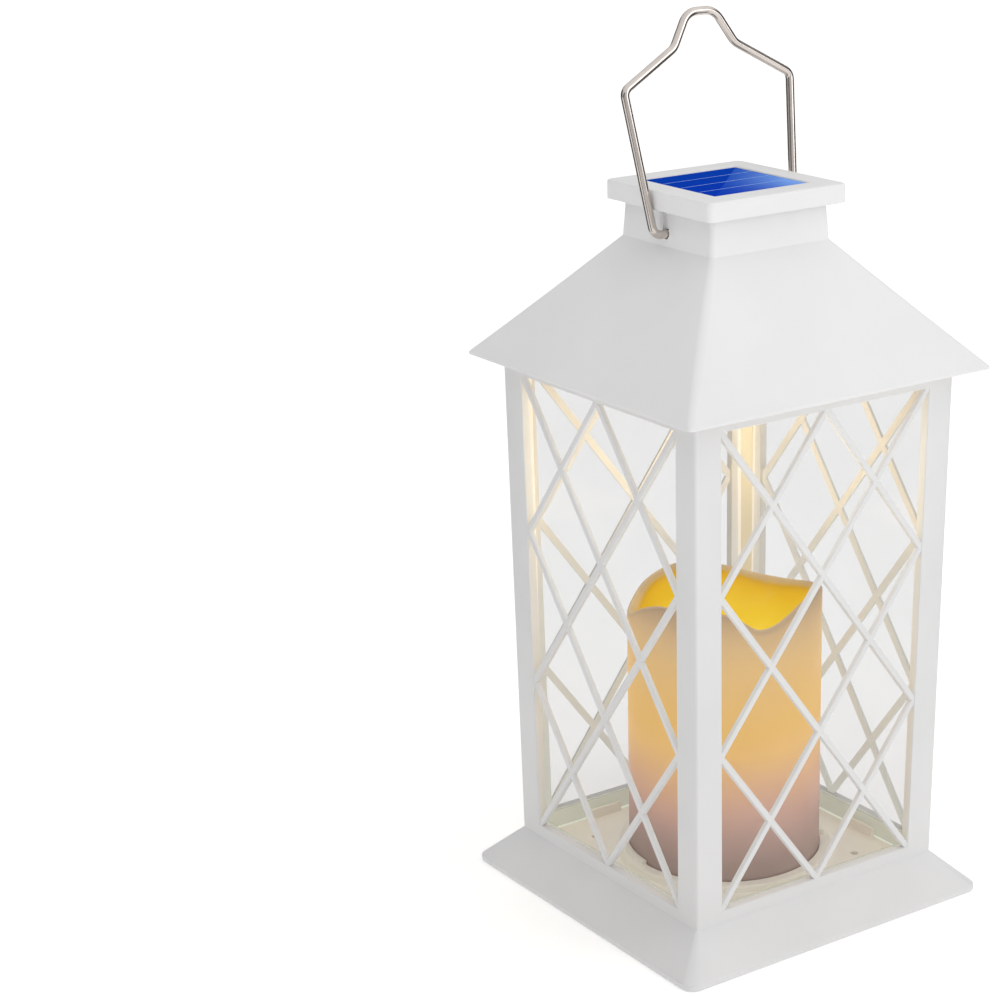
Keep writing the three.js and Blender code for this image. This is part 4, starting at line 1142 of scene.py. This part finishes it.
# ------------------------------------------------------------------ floor
def make_floor():
    me = bpy.data.meshes.new("floor")
    s = 12.0
    me.from_pydata([(-s, -s, 0), (s, -s, 0), (s, s, 0), (-s, s, 0)], [], [(0, 1, 2, 3)])
    o = bpy.data.objects.new("floor", me)
    bpy.context.scene.collection.objects.link(o)
    m = Mat("pale_floor")
    # painted reflection: dark patches on the floor, seen only by glossy rays, stand for dark cards around the set, so
    # bright metal mirrors dark lines in the floor
    sep = m.add("ShaderNodeSeparateXYZ", Vector=m.co())
    x, y = (sep, "X"), (sep, "Y")
    r = m.math("MAXIMUM", m.math("SQRT", m.math("ADD", m.math("MULTIPLY", x, x), m.math("MULTIPLY", y, y))), 0.001)
    back = m.math("DIVIDE", m.math("ADD", m.math("MULTIPLY", x, 0.6174), m.math("MULTIPLY", y, 0.7866)), r)
    side = m.math("DIVIDE", m.math("ADD", m.math("MULTIPLY", x, 0.7866), m.math("MULTIPLY", y, -0.6174)), r)
    painted_card_reflection = m.math("MULTIPLY", m.range(back, -0.25, -0.10, 0.0, 0.93, True), m.range(back, 0.78, 0.88, 1.0, 0.0, True))
    strip = m.math("MULTIPLY", m.range(back, -0.95, -0.91, 0.0, 0.80, True), m.range(back, -0.74, -0.69, 1.0, 0.0, True))
    strip = m.math("MULTIPLY", strip, m.range(side, -0.10, 0.0, 1.0, 0.0))
    dark = m.math("MULTIPLY", m.math("MAXIMUM", painted_card_reflection, strip), m.range(r, 0.25, 0.45, 0.0, 1.0, True))
    dark = m.math("MULTIPLY", dark, (m.add("ShaderNodeLightPath"), "Is Glossy Ray"))
    pale = m.mix(rgba((0.93, 0.93, 0.93)), rgba((0.95, 0.95, 0.95)), m.range((m.noise(3.0), "Fac"), 0.3, 0.7))
    m.base(m.mix(pale, rgba((0.03, 0.03, 0.03)), dark))
    m.set(Roughness=0.9, Specular_IOR_Level=0.1)
    m.p.inputs["Emission Color"].default_value = (1, 1, 1, 1)
    m.put(m.p, "Emission Strength", m.math("MULTIPLY", m.math("SUBTRACT", 1.0, dark), 0.245))
    me.materials.append(m.m)


make_floor()


# ------------------------------------------------------------------ light
def make_world():
    w = bpy.data.worlds.new("studio")
    bpy.context.scene.world = w
    w.use_nodes = True
    t = w.node_tree
    t.nodes.clear()
    out = t.nodes.new("ShaderNodeOutputWorld")
    bg_seen = t.nodes.new("ShaderNodeBackground")
    bg_seen.inputs[0].default_value = (1, 1, 1, 1)
    bg_seen.inputs[1].default_value = 1.0
    bg = t.nodes.new("ShaderNodeBackground")
    bg.inputs[0].default_value = (1, 1, 1, 1)
    mix = t.nodes.new("ShaderNodeMixShader")
    lp = t.nodes.new("ShaderNodeLightPath")
    t.links.new(lp.outputs["Is Camera Ray"], mix.inputs[0])
    t.links.new(bg.outputs[0], mix.inputs[1])
    t.links.new(bg_seen.outputs[0], mix.inputs[2])
    t.links.new(mix.outputs[0], out.inputs[0])

    def node(kind, **kw):
        n = t.nodes.new(kind)
        for k, v in kw.items():
            setattr(n, k, v)
        return n

    def mth(op, a, b, clamp=False):
        n = node("ShaderNodeMath", operation=op, use_clamp=clamp)
        for i, v in enumerate((a, b)):
            if isinstance(v, (int, float)):
                n.inputs[i].default_value = v
            else:
                t.links.new(v, n.inputs[i])
        return n.outputs[0]

    def rng(v, a, b, c, d):
        n = node("ShaderNodeMapRange", interpolation_type="SMOOTHSTEP")
        t.links.new(v, n.inputs["Value"])
        for k, x in (("From Min", a), ("From Max", b), ("To Min", c), ("To Max", d)):
            n.inputs[k].default_value = x
        return n.outputs[0]
    co = node("ShaderNodeTexCoord")
    sep = node("ShaderNodeSeparateXYZ")
    t.links.new(co.outputs["Generated"], sep.inputs[0])
    x, y, z = sep.outputs
    # how far a direction points to the far side of the set, and to the right of it
    back = mth("ADD", mth("MULTIPLY", x, 0.6174), mth("MULTIPLY", y, 0.7866))
    side = mth("ADD", mth("MULTIPLY", x, 0.7866), mth("MULTIPLY", y, -0.6174))
    # soft light for everything: dim at the horizon, bright overhead, a little stronger from the right
    soft = mth("ADD", mth("ADD", 0.165, mth("MULTIPLY", side, 0.145)), rng(z, 0.20, 0.90, 0.0, 1.05))
    # a low soft box on the viewer's side fills the faces under the eave
    low = mth("MULTIPLY", rng(z, 0.16, 0.34, 1.0, 0.0), rng(back, -0.35, 0.05, 1.0, 0.0))
    soft = mth("ADD", soft, mth("MULTIPLY", low, mth("ADD", 0.34, mth("MULTIPLY", side, 0.08))))
    # what bright metal mirrors: black flags behind and beside the object, and a strip in front, give it its dark lines
    flag = mth("MULTIPLY", rng(back, -0.10, 0.02, 0.0, 1.0), rng(back, 0.74, 0.84, 1.0, 0.0))
    flag = mth("MULTIPLY", flag, rng(z, 0.42, 0.60, 1.0, 0.0))
    strip = mth("MULTIPLY", rng(back, -0.94, -0.90, 0.0, 1.0), rng(back, -0.74, -0.70, 1.0, 0.0))
    strip = mth("MULTIPLY", strip, mth("MULTIPLY", rng(side, -0.10, 0.0, 1.0, 0.0), rng(z, 0.5, 0.7, 1.0, 0.0)))
    shine = mth("ADD", mth("ADD", 0.58, mth("MULTIPLY", side, 0.18)), rng(z, 0.05, 0.85, 0.0, 0.40))
    shine = mth("MULTIPLY", shine, mth("SUBTRACT", 1.0, mth("MULTIPLY", flag, 0.95)))
    shine = mth("MULTIPLY", shine, mth("SUBTRACT", 1.0, mth("MULTIPLY", strip, 0.85)))
    glossy = lp.outputs["Is Glossy Ray"]
    lum = mth("ADD", mth("MULTIPLY", shine, glossy), mth("MULTIPLY", soft, mth("SUBTRACT", 1.0, glossy)))
    t.links.new(lum, bg.inputs[1])


make_world()


def area(name, loc, target, size, power, colour=(1, 1, 1)):
    d = bpy.data.lights.new(name, "AREA")
    d.shape = "SQUARE"
    d.size = size
    d.energy = power
    d.color = colour
    o = bpy.data.objects.new(name, d)
    bpy.context.scene.collection.objects.link(o)
    o.location = loc
    o.rotation_mode = "QUATERNION"
    o.rotation_quaternion = (Vector(target) - Vector(loc)).to_track_quat("-Z", "Y")
    o.visible_camera = False
    return o


def spot(name, loc, target, angle, power, size=0.12):
    d = bpy.data.lights.new(name, "SPOT")
    d.energy = power
    d.spot_size = math.radians(angle)
    d.spot_blend = 1.0
    d.shadow_soft_size = size
    o = bpy.data.objects.new(name, d)
    bpy.context.scene.collection.objects.link(o)
    o.location = loc
    o.rotation_mode = "QUATERNION"
    o.rotation_quaternion = (Vector(target) - Vector(loc)).to_track_quat("-Z", "Y")
    o.visible_camera = False
    o.visible_glossy = False
    return o


area("key", (1.1, -1.9, 1.1), (0, 0, 0.15), 1.0, 6.0)
spot("cap_right", (0.22, -1.2, 0.30), (0, 0, 0.272), 11, 13.5)
spot("cap_left", (-1.2, -0.22, 0.30), (0, 0, 0.272), 11, 12.0)
area("upward_glow", (0, 0, 0.130), (0, 0, 0.3), 0.045, 0.035, (1.0, 0.80, 0.46))
area("downward_glow", (0, 0, 0.2085), (0, 0, 0), 0.085, 0.060, (1.0, 0.93, 0.80))

vs = bpy.context.scene.view_settings
vs.view_transform = "Standard"
vs.look = "None"
vs.exposure = 0.0
vs.gamma = 1.0
